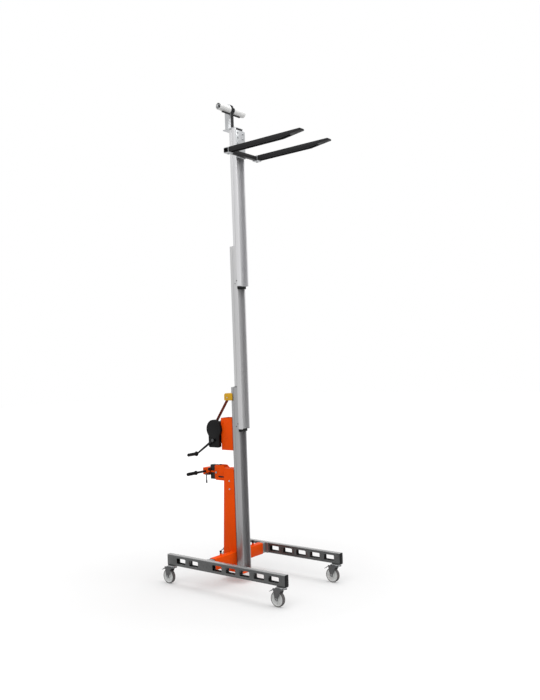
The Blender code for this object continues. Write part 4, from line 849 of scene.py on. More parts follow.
ORANGE = Finish(
    "orange_powder_coat", "orange_paint", (0.72, 0.066, 0.0006), 0.50, cloud=0.05,
    gloss_change=0.05, bump=0.10, scuff_colour=(0.30, 0.04, 0.005), scuff=0.25, dust=0.14,
    specular=0.07,
)
YELLOW = Finish(
    "yellow_powder_coat", "yellow_paint", (0.58, 0.32, 0.012), 0.45, cloud=0.05,
    gloss_change=0.05, bump=0.10, scuff_colour=(0.30, 0.18, 0.02), scuff=0.2, specular=0.22,
)
GALVANISED = Spangled(
    "galvanised_steel", "galvanised", (0.040, 0.042, 0.042), 0.20, 0.15, cloud=0.16,
    gloss_change=0.06, bump=0.03, scuff_colour=(0.26, 0.26, 0.25), scuff=0.3, dust=0.15,
    specular=0.8,
)
# A lighter copy of the galvanised finish: painted highlight on the legs' top faces, standing for
# light from above
PAINTED_HIGHLIGHT_GALVANISED = replace(GALVANISED, name="rubbed_galvanised_steel", colour=(0.19, 0.19, 0.19))
ZINC = Finish(
    "zinc_plate", "zinc", (0.46, 0.47, 0.48), 0.36, 0.95, cloud=0.08, gloss_change=0.08,
    bump=0.04, scuff_colour=(0.34, 0.33, 0.31), scuff=0.3,
)
DULL_ZINC = replace(ZINC, name="dull_zinc_plate", colour=(0.30, 0.31, 0.315), roughness=0.42)
DARK_ZINC = replace(
    ZINC, name="dark_zinc_plate", colour=(0.095, 0.097, 0.10), roughness=0.45, dust=0.2
)
ALUMINIUM = Finish(
    "extruded_aluminium", "aluminium", (0.64, 0.64, 0.65), 0.40, 0.90, cloud=0.06,
    gloss_change=0.07, bump=0.10, stretch=(1.0, 1.0, 0.004),
    scuff_colour=(0.40, 0.40, 0.41), scuff=0.25,
)
# Darker copies of the aluminium for the middle and outer sections: painted shade, so that the mast
# darkens towards the bottom; the outer copy also has more scuffs
MID_SHADE_ALUMINIUM = replace(
    ALUMINIUM, name="satin_aluminium", colour=(0.51, 0.51, 0.515), metallic=0.60
)
SCUFFED_AND_SHADED_ALUMINIUM = replace(
    ALUMINIUM, name="worn_aluminium", colour=(0.33, 0.33, 0.335), metallic=0.72, scuff=0.35
)
BLACK_PLASTIC = Finish(
    "black_moulding", "black_plastic", (0.004, 0.004, 0.0045), 0.50, cloud=0.20,
    gloss_change=0.08, bump=0.35, scuff_colour=(0.02, 0.02, 0.02), scuff=0.3, specular=0.14,
)
BLACK_PAINT = Finish(
    "black_paint", "black_steel", (0.010, 0.010, 0.011), 0.45, cloud=0.15,
    gloss_change=0.07, bump=0.08, scuff_colour=(0.05, 0.05, 0.05), scuff=0.35, specular=0.18,
)
NYLON = Finish(
    "cast_nylon", "wheel", (0.56, 0.57, 0.565), 0.50, cloud=0.06, gloss_change=0.06,
    bump=0.15, scuff_colour=(0.20, 0.19, 0.18), scuff=0.3, dust=0.25,
)
TYRE = Finish(
    "grey_tyre", "wheel", (0.085, 0.080, 0.082), 0.70, cloud=0.10, gloss_change=0.06,
    bump=0.30, scuff_colour=(0.05, 0.05, 0.05), scuff=0.5, dust=0.3, specular=0.3,
)
ROLLER_PLASTIC = Finish(
    "white_roller_plastic", "roller", (0.66, 0.66, 0.65), 0.42, cloud=0.05,
    gloss_change=0.06, bump=0.12, scuff_colour=(0.40, 0.40, 0.39), scuff=0.3,
)
WEBBING = Woven(
    "strap_webbing", "strap_webbing", (0.30, 0.050, 0.020), 0.80, cloud=0.15,
    gloss_change=0.05, bump=0.60, scuff_colour=(0.12, 0.02, 0.010), scuff=0.3, specular=0.2,
)
WOUND_WEBBING = Wound(
    "wound_strap", "strap_webbing", WEBBING.colour, 0.80, cloud=0.15, gloss_change=0.05,
    bump=0.8,
)
PLAIN_FINISHES: dict[str, Finish] = {
    finish.slot: finish
    for finish in (
        ORANGE, YELLOW, GALVANISED, ZINC, ALUMINIUM, BLACK_PLASTIC, BLACK_PAINT, NYLON,
        ROLLER_PLASTIC, WEBBING,
    )
}


@dataclass(frozen=True)
class Lamp:
    """A soft square lamp that looks at the middle of the machine."""

    name: str
    place: Point
    size: float
    power: float
    target: Point = (0.0, 0.2, 2.2)

    def hang(self) -> None:
        """Adds the lamp to the scene."""
        deselect()
        bpy.ops.object.light_add(type="AREA", location=self.place)
        lamp = bpy.context.object
        lamp.name = self.name
        lamp.data.size = self.size
        lamp.data.energy = self.power
        toward = Vector(self.target) - Vector(self.place)
        lamp.rotation_euler = toward.to_track_quat("-Z", "Y").to_euler()


@dataclass(frozen=True)
class Studio:
    """Pale floor, soft light and the photograph's camera."""

    camera_at: Point = (-5.013, -4.18125, 1.9197)
    yaw: float = -0.9014
    pitch: float = -0.0007
    roll: float = -0.0352
    focal_pixels: float = 758.003
    centre_y: float = 361.08
    sensor: float = 36.0
    sight: float = 200.0
    floor_size: float = 60.0
    floor_level: float = -0.0005
    floor_colour: Colour = (0.52, 0.52, 0.52)
    floor_roughness: float = 0.95
    floor_distance: Pair = (1.0, 6.0)
    floor_white: Pair = (0.22, 0.60)
    soft_level: float = 0.85
    lamps: tuple[Lamp, ...] = (
        Lamp("key_light", (-6.5, -1.0, 8.0), 6.0, 200.0),
        Lamp("front_light", (1.5, -6.0, 8.5), 5.0, 250.0),
        Lamp("top_light", (0.5, -0.5, 9.0), 5.0, 300.0),
    )

    def build(self) -> None:
        """Makes the floor, the surroundings, the lamps and the camera."""
        self.build_floor()
        self.build_world()
        for lamp in self.lamps:
            lamp.hang()
        self.build_camera()
        bpy.context.scene.view_settings.view_transform = "Standard"

    def build_floor(self) -> None:
        """Lays a wide floor that turns white away from the machine."""
        deselect()
        place = (0.0, 0.0, self.floor_level)
        bpy.ops.mesh.primitive_plane_add(size=self.floor_size, location=place)
        floor = bpy.context.object
        floor.name = "studio_floor"
        material = bpy.data.materials.new("studio_floor")
        material.use_nodes = True
        nodes = material.node_tree.nodes
        wiring = Wiring(material.node_tree)
        shader = nodes["Principled BSDF"]
        wiring.feed(shader.inputs["Base Color"], self.floor_colour)
        wiring.feed(shader.inputs["Roughness"], self.floor_roughness)
        wiring.feed(shader.inputs["Specular IOR Level"], 0.0)
        spot = wiring.add("TexCoord").outputs["Object"]
        away = wiring.flow("VectorMath", "Value", spot, operation="LENGTH")
        level = wiring.ranged(away, self.floor_distance, self.floor_white)
        seen = self.seen_directly(wiring)
        strength = wiring.flow("Math", "Value", seen, level, operation="MULTIPLY")
        white = wiring.flow("Emission", "Emission", WHITE, strength)
        both = wiring.flow("AddShader", "Shader", shader.outputs["BSDF"], white)
        wiring.feed(nodes["Material Output"].inputs["Surface"], both)
        floor.data.materials.append(material)

    def seen_directly(self, wiring: Wiring) -> Socket:
        """Makes a value that is 1 for what the camera, a gloss or a clear piece shows.

        Args:
            wiring: the wiring of the material or the world.

        Returns:
            The value.
        """
        path = wiring.add("LightPath").outputs
        rays = path["Is Camera Ray"]
        for kind in ("Is Glossy Ray", "Is Transmission Ray"):
            rays = wiring.flow("Math", "Value", rays, path[kind], operation="MAXIMUM")
        return rays

    def build_world(self) -> None:
        """Lights the scene evenly, with a white sky where it is seen directly."""
        world = bpy.data.worlds.new("studio")
        bpy.context.scene.world = world
        world.use_nodes = True
        nodes = world.node_tree.nodes
        wiring = Wiring(world.node_tree)
        soft = nodes["Background"]
        wiring.feed(soft.inputs["Color"], WHITE)
        wiring.feed(soft.inputs["Strength"], self.soft_level)
        white = wiring.flow("Background", "Background", WHITE, 1.0)
        seen = self.seen_directly(wiring)
        sky = wiring.flow("MixShader", "Shader", seen, soft.outputs["Background"], white)
        wiring.feed(nodes["World Output"].inputs["Surface"], sky)

    def build_camera(self) -> None:
        """Sets the camera where the photograph was taken from."""
        forward = Vector((
            -math.sin(self.yaw) * math.cos(self.pitch),
            math.cos(self.yaw) * math.cos(self.pitch),
            math.sin(self.pitch),
        ))
        level = Vector((math.cos(self.yaw), math.sin(self.yaw), 0.0))
        upright = level.cross(forward)
        right = math.cos(self.roll) * level + math.sin(self.roll) * upright
        up = math.cos(self.roll) * upright - math.sin(self.roll) * level
        turn = Matrix((right, up, -forward)).transposed().to_4x4()
        deselect()
        bpy.ops.object.camera_add()
        camera = bpy.context.object
        camera.name = "photograph_camera"
        camera.matrix_world = Matrix.Translation(self.camera_at) @ turn
        camera.data.sensor_fit = "AUTO"
        camera.data.sensor_width = self.sensor
        camera.data.lens = self.sensor * self.focal_pixels / PHOTO_HEIGHT
        camera.data.shift_y = (self.centre_y - PHOTO_HEIGHT / 2) / PHOTO_HEIGHT
        camera.data.clip_end = self.sight
        bpy.context.scene.camera = camera


# The machine


@dataclass(frozen=True)
class HexFastener:
    """A hexagon bolt head or nut on its washer."""

    radius: float
    height: float
    washer_radius: float
    washer_height: float
    bore: float = 0.0
    chamfer: float = 0.12
    washer_taper: float = 0.96
    washer_facets: int = 20

    def shape(self) -> Piece:
        """Models it along +Z from the origin.

        Returns:
            The fastener.
        """
        low, high = self.washer_height, self.washer_height + self.height
        edge = self.radius * self.chamfer
        rim, bore = self.washer_radius, self.bore
        head = [
            (low, bore), (low, self.radius), (high - edge, self.radius),
            (high, self.radius - edge), (high, bore),
        ]
        washer = [(0.0, bore), (0.0, rim), (low, rim * self.washer_taper), (low, bore)]
        return join("fastener", [
            turned("head", head, (0.0, 0.0), Axis.Z, HEXAGON),
            turned("washer", washer, (0.0, 0.0), Axis.Z, self.washer_facets),
        ])


@dataclass(frozen=True)
class CapScrew:
    """A round screw head with a recess for the key; its profile is in shares."""

    radius: float
    height: float
    facets: int = 20
    profile: Profile = (
        (0.0, 0.0), (0.0, 1.0), (0.8, 1.0), (1.0, 0.85), (1.0, 0.5), (0.4, 0.45), (0.4, 0.0),
    )

    def shape(self) -> Piece:
        """Models it along +Z from the origin."""
        profile = [(rise * self.height, out * self.radius) for rise, out in self.profile]
        return turned("screw", profile, (0.0, 0.0), Axis.Z, self.facets)


@dataclass
class Assembly:
    """A group of pieces that are made and fitted together."""

    nodes: dict[str, Piece]
    slots: dict[str, str]

    def fit(self, obj: Piece, finish: Finish, like: str) -> Piece:
        """Finishes a piece, fixes it to a body and reports it.

        Args:
            obj: the piece.
            finish: its surface finish.
            like: a node of the body that it moves with.

        Returns:
            The same piece.
        """
        finish.dress(obj)
        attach(obj, self.nodes[like]["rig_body"])
        LOG.info("%s: %s", type(self).__name__, obj.name)
        return obj

    def put_for(self, obj: Piece, finish: Finish, node: str) -> None:
        """Fits a piece in a node's place."""
        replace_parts(self.fit(obj, finish, node), node)

    def refine(
        self, node: str, width: float, finish: Finish | None = None, segments: int = 2
    ) -> Piece:
        """Replaces a node by its own shape with rounded edges.

        Args:
            node: the node.
            width: width of the rounding.
            finish: its finish, or None for the plain finish of the node's slot.
            segments: facets across the rounding.

        Returns:
            The rounded piece.
        """
        chosen = finish or PLAIN_FINISHES[self.slots[node]]
        return self.fit(from_node(node, width, segments), chosen, node)

    def refine_all(self, widths: Widths) -> None:
        """Rounds several nodes in their plain finish, each by its own width."""
        for node, width in widths:
            self.refine(node, width)

    def fasten(
        self,
        name: str,
        kind: HexFastener | CapScrew,
        places: Sequence[Sequence[float]],
        direction: Sequence[float],
        like: str,
        finish: Finish = ZINC,
    ) -> None:
        """Fits a set of equal fasteners as one piece.

        Args:
            name: the piece's name.
            kind: the fastener.
            places: where each one is seated.
            direction: the way that the heads point.
            like: a node of the body that they are fixed to.
            finish: their finish.
        """
        turn = Vector(direction).to_track_quat("Z", "Y").to_matrix().to_4x4()
        heads = copies_at(kind.shape(), places, turn)
        self.fit(smooth(join(name, heads)), finish, like)

    def fasten_sides(
        self,
        name: str,
        kind: HexFastener | CapScrew,
        reach: float,
        seats: Sequence[Pair],
        like: str,
        finish: Finish = ZINC,
    ) -> None:
        """Fits the same fasteners on both sides of the machine, as a piece for each side.

        Args:
            name: the pieces' name, before the side's word.
            kind: the fastener.
            reach: distance of the seats from the machine's middle.
            seats: (Y, Z) of each seat.
            like: a node of the body that they are fixed to.
            finish: their finish.
        """
        for side in Side:
            places = [(side.value * reach, y, z) for y, z in seats]
            self.fasten(f"{name}_{side.word}", kind, places, side.out, like, finish)


@dataclass
class Casters(Assembly):
    """Braked swivel casters under the ends of the legs."""

    width: float = 0.030
    tread: float = 0.0075
    shoulder: float = 0.0045
    shoulder_bend: float = 0.00135
    web: float = 0.009
    rim: float = 0.010
    rim_foot: float = 0.006
    rim_lip: float = 0.005
    edge: float = 0.001
    fillet: float = 0.002
    hub_radius: float = 0.0165
    hub_half: float = 0.0185
    bore: float = 0.0065
    rib_count: int = 8
    rib: float = 0.0016
    rib_top: float = 0.008
    rib_inset: float = 0.004
    facets: int = 48
    fork_edge: float = 0.0008
    fork_flare: float = 0.004
    head: float = 0.018
    nut: HexFastener = HexFastener(0.0095, 0.0034, 0.0105, 0.0008, 0.0063)
    stem_radius: float = 0.026
    plate_bolt: HexFastener = HexFastener(0.0058, 0.0036, 0.0068, 0.0008)
    plate_half: Pair = (0.022, 0.030)
    cheek_gap: float = 0.0002
    cheek_thickness: float = 0.0012
    cheek_edge: float = 0.0003
    cheek_outline: Profile = (
        (-0.052, 0.086), (0.032, 0.086), (0.029, 0.070), (0.017, 0.012), (0.013, -0.007),
        (0.0, -0.0118), (-0.013, -0.007), (-0.017, 0.012), (-0.046, 0.072),
    )
    pedal_edge: float = 0.0006
    pedal_knee: Pair = (0.060, 0.0055)
    pedal_tip: float = 0.0015
    ridge_low: Point = (-0.014, -0.0011, -0.0008)
    ridge_high: Point = (0.014, 0.0011, 0.0012)
    ridge_places: tuple[float, ...] = (0.25, 0.50, 0.75)

    def build(self) -> None:
        """Makes the four casters."""
        for corner in Corner:
            self.build_wheel(corner.value)
            self.build_fork(corner.value)
            self.build_pedal(corner.value)

    def build_wheel(self, corner: str) -> None:
        """Makes the tyre and the ribbed core of one wheel.

        Args:
            corner: the caster's corner.
        """
        node = f"caster_wheel_{corner}"
        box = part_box(node)
        centre = middle_of(box)
        radius = (box[1].z - box[0].z) / 2
        seat = radius - self.tread
        half = self.width / 2
        side = half - self.edge
        tyre = self.wheel_ring(f"caster_tyre_{corner}", centre, [
            (half, seat),
            (half, radius - self.shoulder),
            (half - self.shoulder_bend, radius - self.shoulder_bend),
            (half - self.shoulder, radius),
        ])
        self.put_for(tyre, TYRE, node)
        core = self.wheel_ring("core", centre, [
            (self.hub_half, self.bore),
            (self.hub_half, self.hub_radius - self.edge),
            (self.hub_half - self.edge, self.hub_radius),
            (self.web, self.hub_radius + self.fillet),
            (self.web, seat - self.rim),
            (half - self.fillet, seat - self.rim_foot),
            (side, seat - self.rim_lip),
            (side, seat),
        ])
        reach = half - self.rib_inset
        low = centre + Vector((-reach, -self.rib, self.hub_radius))
        high = centre + Vector((reach, self.rib, seat - self.rib_top))
        ribs = ring_of(block("rib", low, high), self.rib_count, centre, Axis.X)
        self.put_for(smooth(join(f"caster_core_{corner}", [core, *ribs])), NYLON, node)

    def wheel_ring(self, name: str, centre: Vector, side: Profile) -> Piece:
        """Turns a ring whose two sides are alike.

        Args:
            name: the piece's name.
            centre: the middle of the wheel.
            side: (distance from the middle, radius) pairs of one side, from the bore out.

        Returns:
            The ring.
        """
        profile = laid(centre.x, side, -1) + laid(centre.x, side[::-1])
        return turned(name, profile, (centre.y, centre.z), Axis.X, self.facets)

    def build_fork(self, corner: str) -> None:
        """Rounds the fork and adds its cheeks, the axle nuts and the plate bolts.

        Args:
            corner: the caster's corner.
        """
        node = f"caster_fork_{corner}"
        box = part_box(node)
        fork = self.refine(node, self.fork_edge, DARK_ZINC)
        # The fork is dark zinc and its top band, the swivel head, plain zinc: the lighter head is
        # a painted highlight and the darker fork painted shade
        ZINC.recoat(fork, (-FAR, -FAR, box[1].z - self.head))
        wheel = middle_of(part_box(f"caster_wheel_{corner}"))
        reach = (box[1].x - box[0].x) / 2 - self.fork_flare
        self.build_cheeks(corner, wheel, reach)
        for side in Side:
            place = wheel + Vector(side.out) * reach
            self.fasten(f"axle_nut_{corner}_{side.word}", self.nut, [place], side.out, node)
        stem = box[0].y + self.stem_radius
        leg = "leg_right" if wheel.x < 0 else "leg_left"
        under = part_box(leg)[0].z
        across, along = self.plate_half
        places = [(wheel.x + a * across, stem + b * along, under) for a in SIGNS for b in SIGNS]
        self.fasten(f"caster_bolts_{corner}", self.plate_bolt, places, (0.0, 0.0, -1.0), leg)

    def build_cheeks(self, corner: str, wheel: Vector, reach: float) -> None:
        """Adds the pressed outer cheeks, wide under the head and narrow at the axle.

        Args:
            corner: the caster's corner.
            wheel: the middle of the wheel.
            reach: distance from the wheel's middle to the fork's side.
        """
        outline = [(wheel.y + along, wheel.z + rise) for along, rise in self.cheek_outline]
        near = reach + self.cheek_gap
        sides = []
        for side in Side:
            low, high = side.span(near, near + self.cheek_thickness)
            sides.append(plate("cheek", outline, wheel.x + low, wheel.x + high, Axis.X))
        cheeks = round_edges(join(f"caster_cheeks_{corner}", sides), self.cheek_edge)
        self.fit(cheeks, DARK_ZINC, f"caster_fork_{corner}")

    def build_pedal(self, corner: str) -> None:
        """Rounds the brake pedal and adds grip ridges on its tread.

        Args:
            corner: the caster's corner.
        """
        node = f"caster_pedal_{corner}"
        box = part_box(node)
        middle = middle_of(box).x
        along, drop = self.pedal_knee
        knee = Vector((middle, box[0].y + along, box[1].z - drop))
        slope = Vector((middle, box[1].y, box[0].z + self.pedal_tip)) - knee
        turn = Matrix.Rotation(math.atan2(slope.z, slope.y), 4, "X")
        ridge = block("ridge", self.ridge_low, self.ridge_high)
        places = [knee + slope * share for share in self.ridge_places]
        ridges = join(f"pedal_ridges_{corner}", copies_at(ridge, places, turn))
        self.refine(node, self.pedal_edge, DARK_ZINC)
        self.fit(ridges, DARK_ZINC, node)


@dataclass
class Chassis(Assembly):
    """Windowed legs on stubs in a cross-beam, with the foot plate under the mast."""

    leg_edge: float = 0.0012
    rubbed_depth: float = 0.002
    stub_edge: float = 0.0008
    cap_edge: float = 0.0010
    plates: Widths = (("cross_beam", 0.0015), ("foot_plate", 0.0015))
    pin_share: float = 0.46
    pin_tip: float = 0.7
    pin_taper: float = 0.002
    pin_facets: int = 28
    knob_profile: Profile = (
        (0.0155, 0.0052), (0.0155, 0.00833), (0.0140, 0.0098), (0.0030, 0.0098),
        (0.0008, 0.00686), (0.0, 0.0),
    )
    boss_gap: float = 0.0003
    hexagon_profile: Profile = (
        (0.0, 0.0), (0.0, 0.0088), (0.0065, 0.0088), (0.0075, 0.00748), (0.0075, 0.0),
    )
    knurls: int = 14
    knurl_half: float = 0.0006
    knurl_reach: Pair = (0.0090, 0.0105)
    knurl_drop: Pair = (0.0135, 0.0035)
    bead_pitch: float = 0.0035
    bead_radii: Pair = (0.0025, 0.0031)
    bead_angle: float = 70.0
    bead_facets: int = 8
    foot_weld: Pair = (0.002, 0.0012)
    beam_weld: Pair = (0.004, 0.0175)
    beam_weld_length: float = 0.052

    def build(self) -> None:
        """Makes the legs, the beam, the plate and the plungers."""
        for side in Side:
            node = f"leg_{side.word}"
            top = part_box(node)[1].z
            leg = self.refine(node, self.leg_edge)
            # The leg's top faces take the lighter galvanised copy: painted highlight from light
            # above
            PAINTED_HIGHLIGHT_GALVANISED.recoat(leg, (-FAR, -FAR, top - self.rubbed_depth))
            self.refine(f"leg_stub_{side.word}", self.stub_edge, DULL_ZINC)
            self.build_plunger(side)
            for end in ("front", "rear"):
                self.refine(f"leg_cap_{end}_{side.word}", self.cap_edge)
        self.refine_all(self.plates)
        self.build_welds()

    def build_plunger(self, side: Side) -> None:
        """Makes one index plunger: pin, hexagon, neck and knurled knob.

        Args:
            side: the side that it is on.
        """
        node = f"leg_lock_{side.word}"
        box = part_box(node)
        centre = middle_of(box)
        place = (centre.x, centre.y)
        low, top = box[0].z, box[1].z
        pin = (box[1].y - box[0].y) / 2 * self.pin_share
        profile = [(low, 0.0), (low, pin * self.pin_tip), (low + self.pin_taper, pin)]
        profile += laid(top, self.knob_profile, -1)
        body = turned("pin", profile, place, Axis.Z, self.pin_facets)
        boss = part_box("cross_beam")[1].z + self.boss_gap
        hexagon = turned("hexagon", laid(boss, self.hexagon_profile), place, Axis.Z, HEXAGON)
        inner, outer = (centre.y + reach for reach in self.knurl_reach)
        foot, head = (top - drop for drop in self.knurl_drop)
        half = self.knurl_half
        knurl = block("knurl", (centre.x - half, inner, foot), (centre.x + half, outer, head))
        knurls = ring_of(knurl, self.knurls, centre, Axis.Z)
        plunger = smooth(join(f"plunger_{side.word}", [body, hexagon, *knurls]))
        self.put_for(plunger, BLACK_PLASTIC, node)

    def build_welds(self) -> None:
        """Lays beads where the column stands on the foot plate and on the beam."""
        column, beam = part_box("column"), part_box("cross_beam")
        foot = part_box("foot_plate")[1].z
        for side in Side:
            x = column[1].x * side.value
            inset, rise = self.foot_weld
            length = column[1].y - column[0].y - 2 * inset
            start = Vector((x, column[0].y + inset, foot + rise))
            self.weld(f"foot_weld_{side.word}", start, length, "foot_plate")
            inset, drop = self.beam_weld
            start = Vector((x, beam[0].y + inset, beam[1].z - drop))
            self.weld(f"beam_weld_{side.word}", start, self.beam_weld_length, "cross_beam")

    def weld(self, name: str, start: Vector, length: float, like: str) -> None:
        """Lays a weld bead along Y.

        Args:
            name: the piece's name.
            start: where the bead begins.
            length: how far it runs.
            like: a node of the body that it is on.
        """
        steps = round(length / self.bead_pitch)
        waves = [(length * step / steps, self.bead_radii[step % 2]) for step in range(steps + 1)]
        profile = laid(start.y, [(0.0, 0.0), *waves, (length, 0.0)])
        bead = turned(name, profile, (start.x, start.z), Axis.Y, self.bead_facets)
        self.fit(smooth(bead, self.bead_angle), PLAIN_FINISHES[self.slots[like]], like)


@dataclass
class Column(Assembly):
    """Tapered sheet column behind the mast, with its bolts to the mast."""

    edge: float = 0.0018
    bolt: HexFastener = HexFastener(0.0065, 0.0044, 0.0080, 0.0010)
    bolt_heights: tuple[float, ...] = (0.807, 0.878)
    bolt_setback: float = 0.054

    def build(self) -> None:
        """Makes the column and its side bolts."""
        self.refine("column", self.edge)
        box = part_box("column")
        seats = [(box[0].y + self.bolt_setback, z) for z in self.bolt_heights]
        self.fasten_sides("column_bolts", self.bolt, box[1].x, seats, "column")


@dataclass
class Mast(Assembly):
    """Three extrusions that run in one another, with their shoes and collar."""

    profile_edge: float = 0.0006
    fittings: Widths = (
        ("mast_middle_shoe", 0.0010), ("mast_inner_shoe", 0.0010), ("mast_outer_collar", 0.0005),
    )
    screw: CapScrew = CapScrew(0.0046, 0.0022)
    screw_seats: tuple[Pair, ...] = ((0.045, 0.047), (0.063, 0.023))

    def build(self) -> None:
        """Makes the profiles with their shoes, collar and screws."""
        # The two lower profiles take the darker aluminium copies: painted shade, darker towards
        # the bottom of the mast
        self.refine("mast_outer", self.profile_edge, SCUFFED_AND_SHADED_ALUMINIUM)
        self.refine("mast_middle", self.profile_edge, MID_SHADE_ALUMINIUM)
        self.refine("mast_inner", self.profile_edge)
        self.refine_all(self.fittings)
        for node in ("mast_middle", "mast_inner"):
            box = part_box(node)
            seats = [(box[0].y + inset, box[0].z + rise) for inset, rise in self.screw_seats]
            name = f"{node}_screws"
            self.fasten_sides(name, self.screw, box[1].x, seats, node, BLACK_PAINT)


@dataclass
class Winch(Assembly):
    """Geared strap winch on its bracket, with the crank."""

    plain: Widths = (
        ("winch_bracket", 0.0014), ("winch_frame", 0.0008), ("winch_drum", 0.0008),
        ("crank_arm", 0.0010),
    )
    cover_edge: float = 0.0022
    cover_facets: int = 3
    shaft_edge: float = 0.0003
    winding_edge: float = 0.0006
    cover_screw: CapScrew = CapScrew(0.0048, 0.0026)
    cover_screw_turns: tuple[float, ...] = (35.0, 90.0, 145.0)
    cover_screw_radius: float = 0.076
    cover_foot_screws: Pair = (0.050, 0.012)
    bracket_bolt: HexFastener = HexFastener(0.0085, 0.0050, 0.0110, 0.0012)
    bracket_bolt_inset: float = 0.022
    bracket_bolt_rises: Pair = (0.040, 0.242)
    shaft_nut: HexFastener = HexFastener(0.0135, 0.0030, 0.0145, 0.0007, 0.0091)
    shaft_end: float = 0.0040
    drum_nut: HexFastener = HexFastener(0.0150, 0.0040, 0.0165, 0.0010, 0.0102)
    nut_gap: float = 0.0004
    grip_mouth: Profile = ((0.0, 0.0064), (0.0, 0.0095), (0.0015, 0.0120))
    grip_stop: Profile = (
        (0.012, 0.0185), (0.010, 0.0215), (0.003, 0.0215), (0.0, 0.0175), (0.0, 0.0064),
    )
    grip_radius: float = 0.0148
    grip_facets: int = 40
    waves: int = 5
    wave_start: float = 0.005
    wave_room: float = 0.020
    wave_half: float = 0.0007
    wave_steps: int = 6

    def build(self) -> None:
        """Makes the bracket, frame, cover, drum, crank and grip."""
        self.refine_all(self.plain)
        self.refine("winch_cover", self.cover_edge, segments=self.cover_facets)
        self.refine("crank_shaft", self.shaft_edge, DARK_ZINC)
        drum = middle_of(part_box("strap_winding"))
        wound = replace(WOUND_WEBBING, axis_y=drum.y, axis_z=drum.z)
        self.refine("strap_winding", self.winding_edge, wound)
        self.build_cover_screws(drum)
        self.build_bolts(drum)
        self.build_grip()

    def build_cover_screws(self, drum: Vector) -> None:
        """Fits the screws round the cover and at its foot.

        Args:
            drum: the middle of the drum.
        """
        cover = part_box("winch_cover")
        face = cover[0].x
        places = []
        for degrees in self.cover_screw_turns:
            turn = math.radians(degrees)
            across, rise = math.cos(turn), math.sin(turn)
            radius = self.cover_screw_radius
            places.append((face, drum.y + radius * across, drum.z + radius * rise))
        across, rise = self.cover_foot_screws
        places += [(face, drum.y + sign * across, cover[0].z + rise) for sign in SIGNS]
        out = Side.RIGHT.out
        self.fasten("cover_screws", self.cover_screw, places, out, "winch_cover", BLACK_PAINT)

    def build_bolts(self, drum: Vector) -> None:
        """Fits the bracket's bolts and the nuts of the drum and the crank shaft.

        Args:
            drum: the middle of the drum.
        """
        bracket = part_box("winch_bracket")
        reach, y = bracket[1].x, bracket[1].y - self.bracket_bolt_inset
        seats = [(y, bracket[0].z + rise) for rise in self.bracket_bolt_rises]
        bolt, node = self.bracket_bolt, "winch_bracket"
        self.fasten_sides("bracket_bolts", bolt, reach, seats, node, ORANGE)
        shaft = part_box("crank_shaft")
        pinion = middle_of(shaft)
        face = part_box("winch_frame")[1].x + self.nut_gap
        nut, right, left = self.shaft_nut, Side.RIGHT.out, Side.LEFT.out
        place = (shaft[0].x + self.shaft_end, pinion.y, pinion.z)
        self.fasten("crank_nut", nut, [place], right, "crank_shaft", DARK_ZINC)
        place = (face, drum.y, drum.z)
        self.fasten("drum_nut", self.drum_nut, [place], left, "winch_drum")
        place = (face, pinion.y, pinion.z)
        self.fasten("pinion_nut", nut, [place], left, "crank_shaft")

    def build_grip(self) -> None:
        """Turns the free-running crank grip with its finger waves and hand stop."""
        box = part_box("crank_grip")
        centre = middle_of(box)
        low, high = box[0].x, box[1].x
        profile = laid(low, self.grip_mouth)
        steps = self.waves * self.wave_steps
        length = high - low - self.wave_room
        for step in range(steps + 1):
            along = low + self.wave_start + length * step / steps
            wave = math.cos(2 * math.pi * step / self.wave_steps) - 1
            profile.append((along, self.grip_radius + self.wave_half * wave))
        profile += laid(high, self.grip_stop, -1)
        place = (centre.y, centre.z)
        grip = turned("crank_handgrip", profile, place, Axis.X, self.grip_facets)
        self.put_for(grip, BLACK_PLASTIC, "crank_grip")


@dataclass
class StrapGuide(Assembly):
    """The strap, its guide pulley and the guard over it."""

    plain: Widths = (
        ("lift_strap", 0.0003), ("guide_pulley", 0.0006), ("pulley_pin", 0.0005),
        ("pulley_guard", 0.0014),
    )
    pin_nut: HexFastener = HexFastener(0.0095, 0.0030, 0.0110, 0.0006, 0.0063)
    guard_screw: CapScrew = CapScrew(0.0040, 0.0024)
    guard_screw_inset: float = 0.009
    guard_screw_rises: Pair = (0.014, 0.048)

    def build(self) -> None:
        """Makes the strap, pulley, pin and guard."""
        self.refine_all(self.plain)
        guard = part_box("pulley_guard")
        reach = guard[1].x
        pin = middle_of(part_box("pulley_pin"))
        seats = [(pin.y, pin.z)]
        self.fasten_sides("pulley_nut", self.pin_nut, reach, seats, "pulley_pin", YELLOW)
        y = guard[0].y + self.guard_screw_inset
        seats = [(y, guard[0].z + rise) for rise in self.guard_screw_rises]
        self.fasten_sides("guard_screws", self.guard_screw, reach, seats, "pulley_guard", YELLOW)


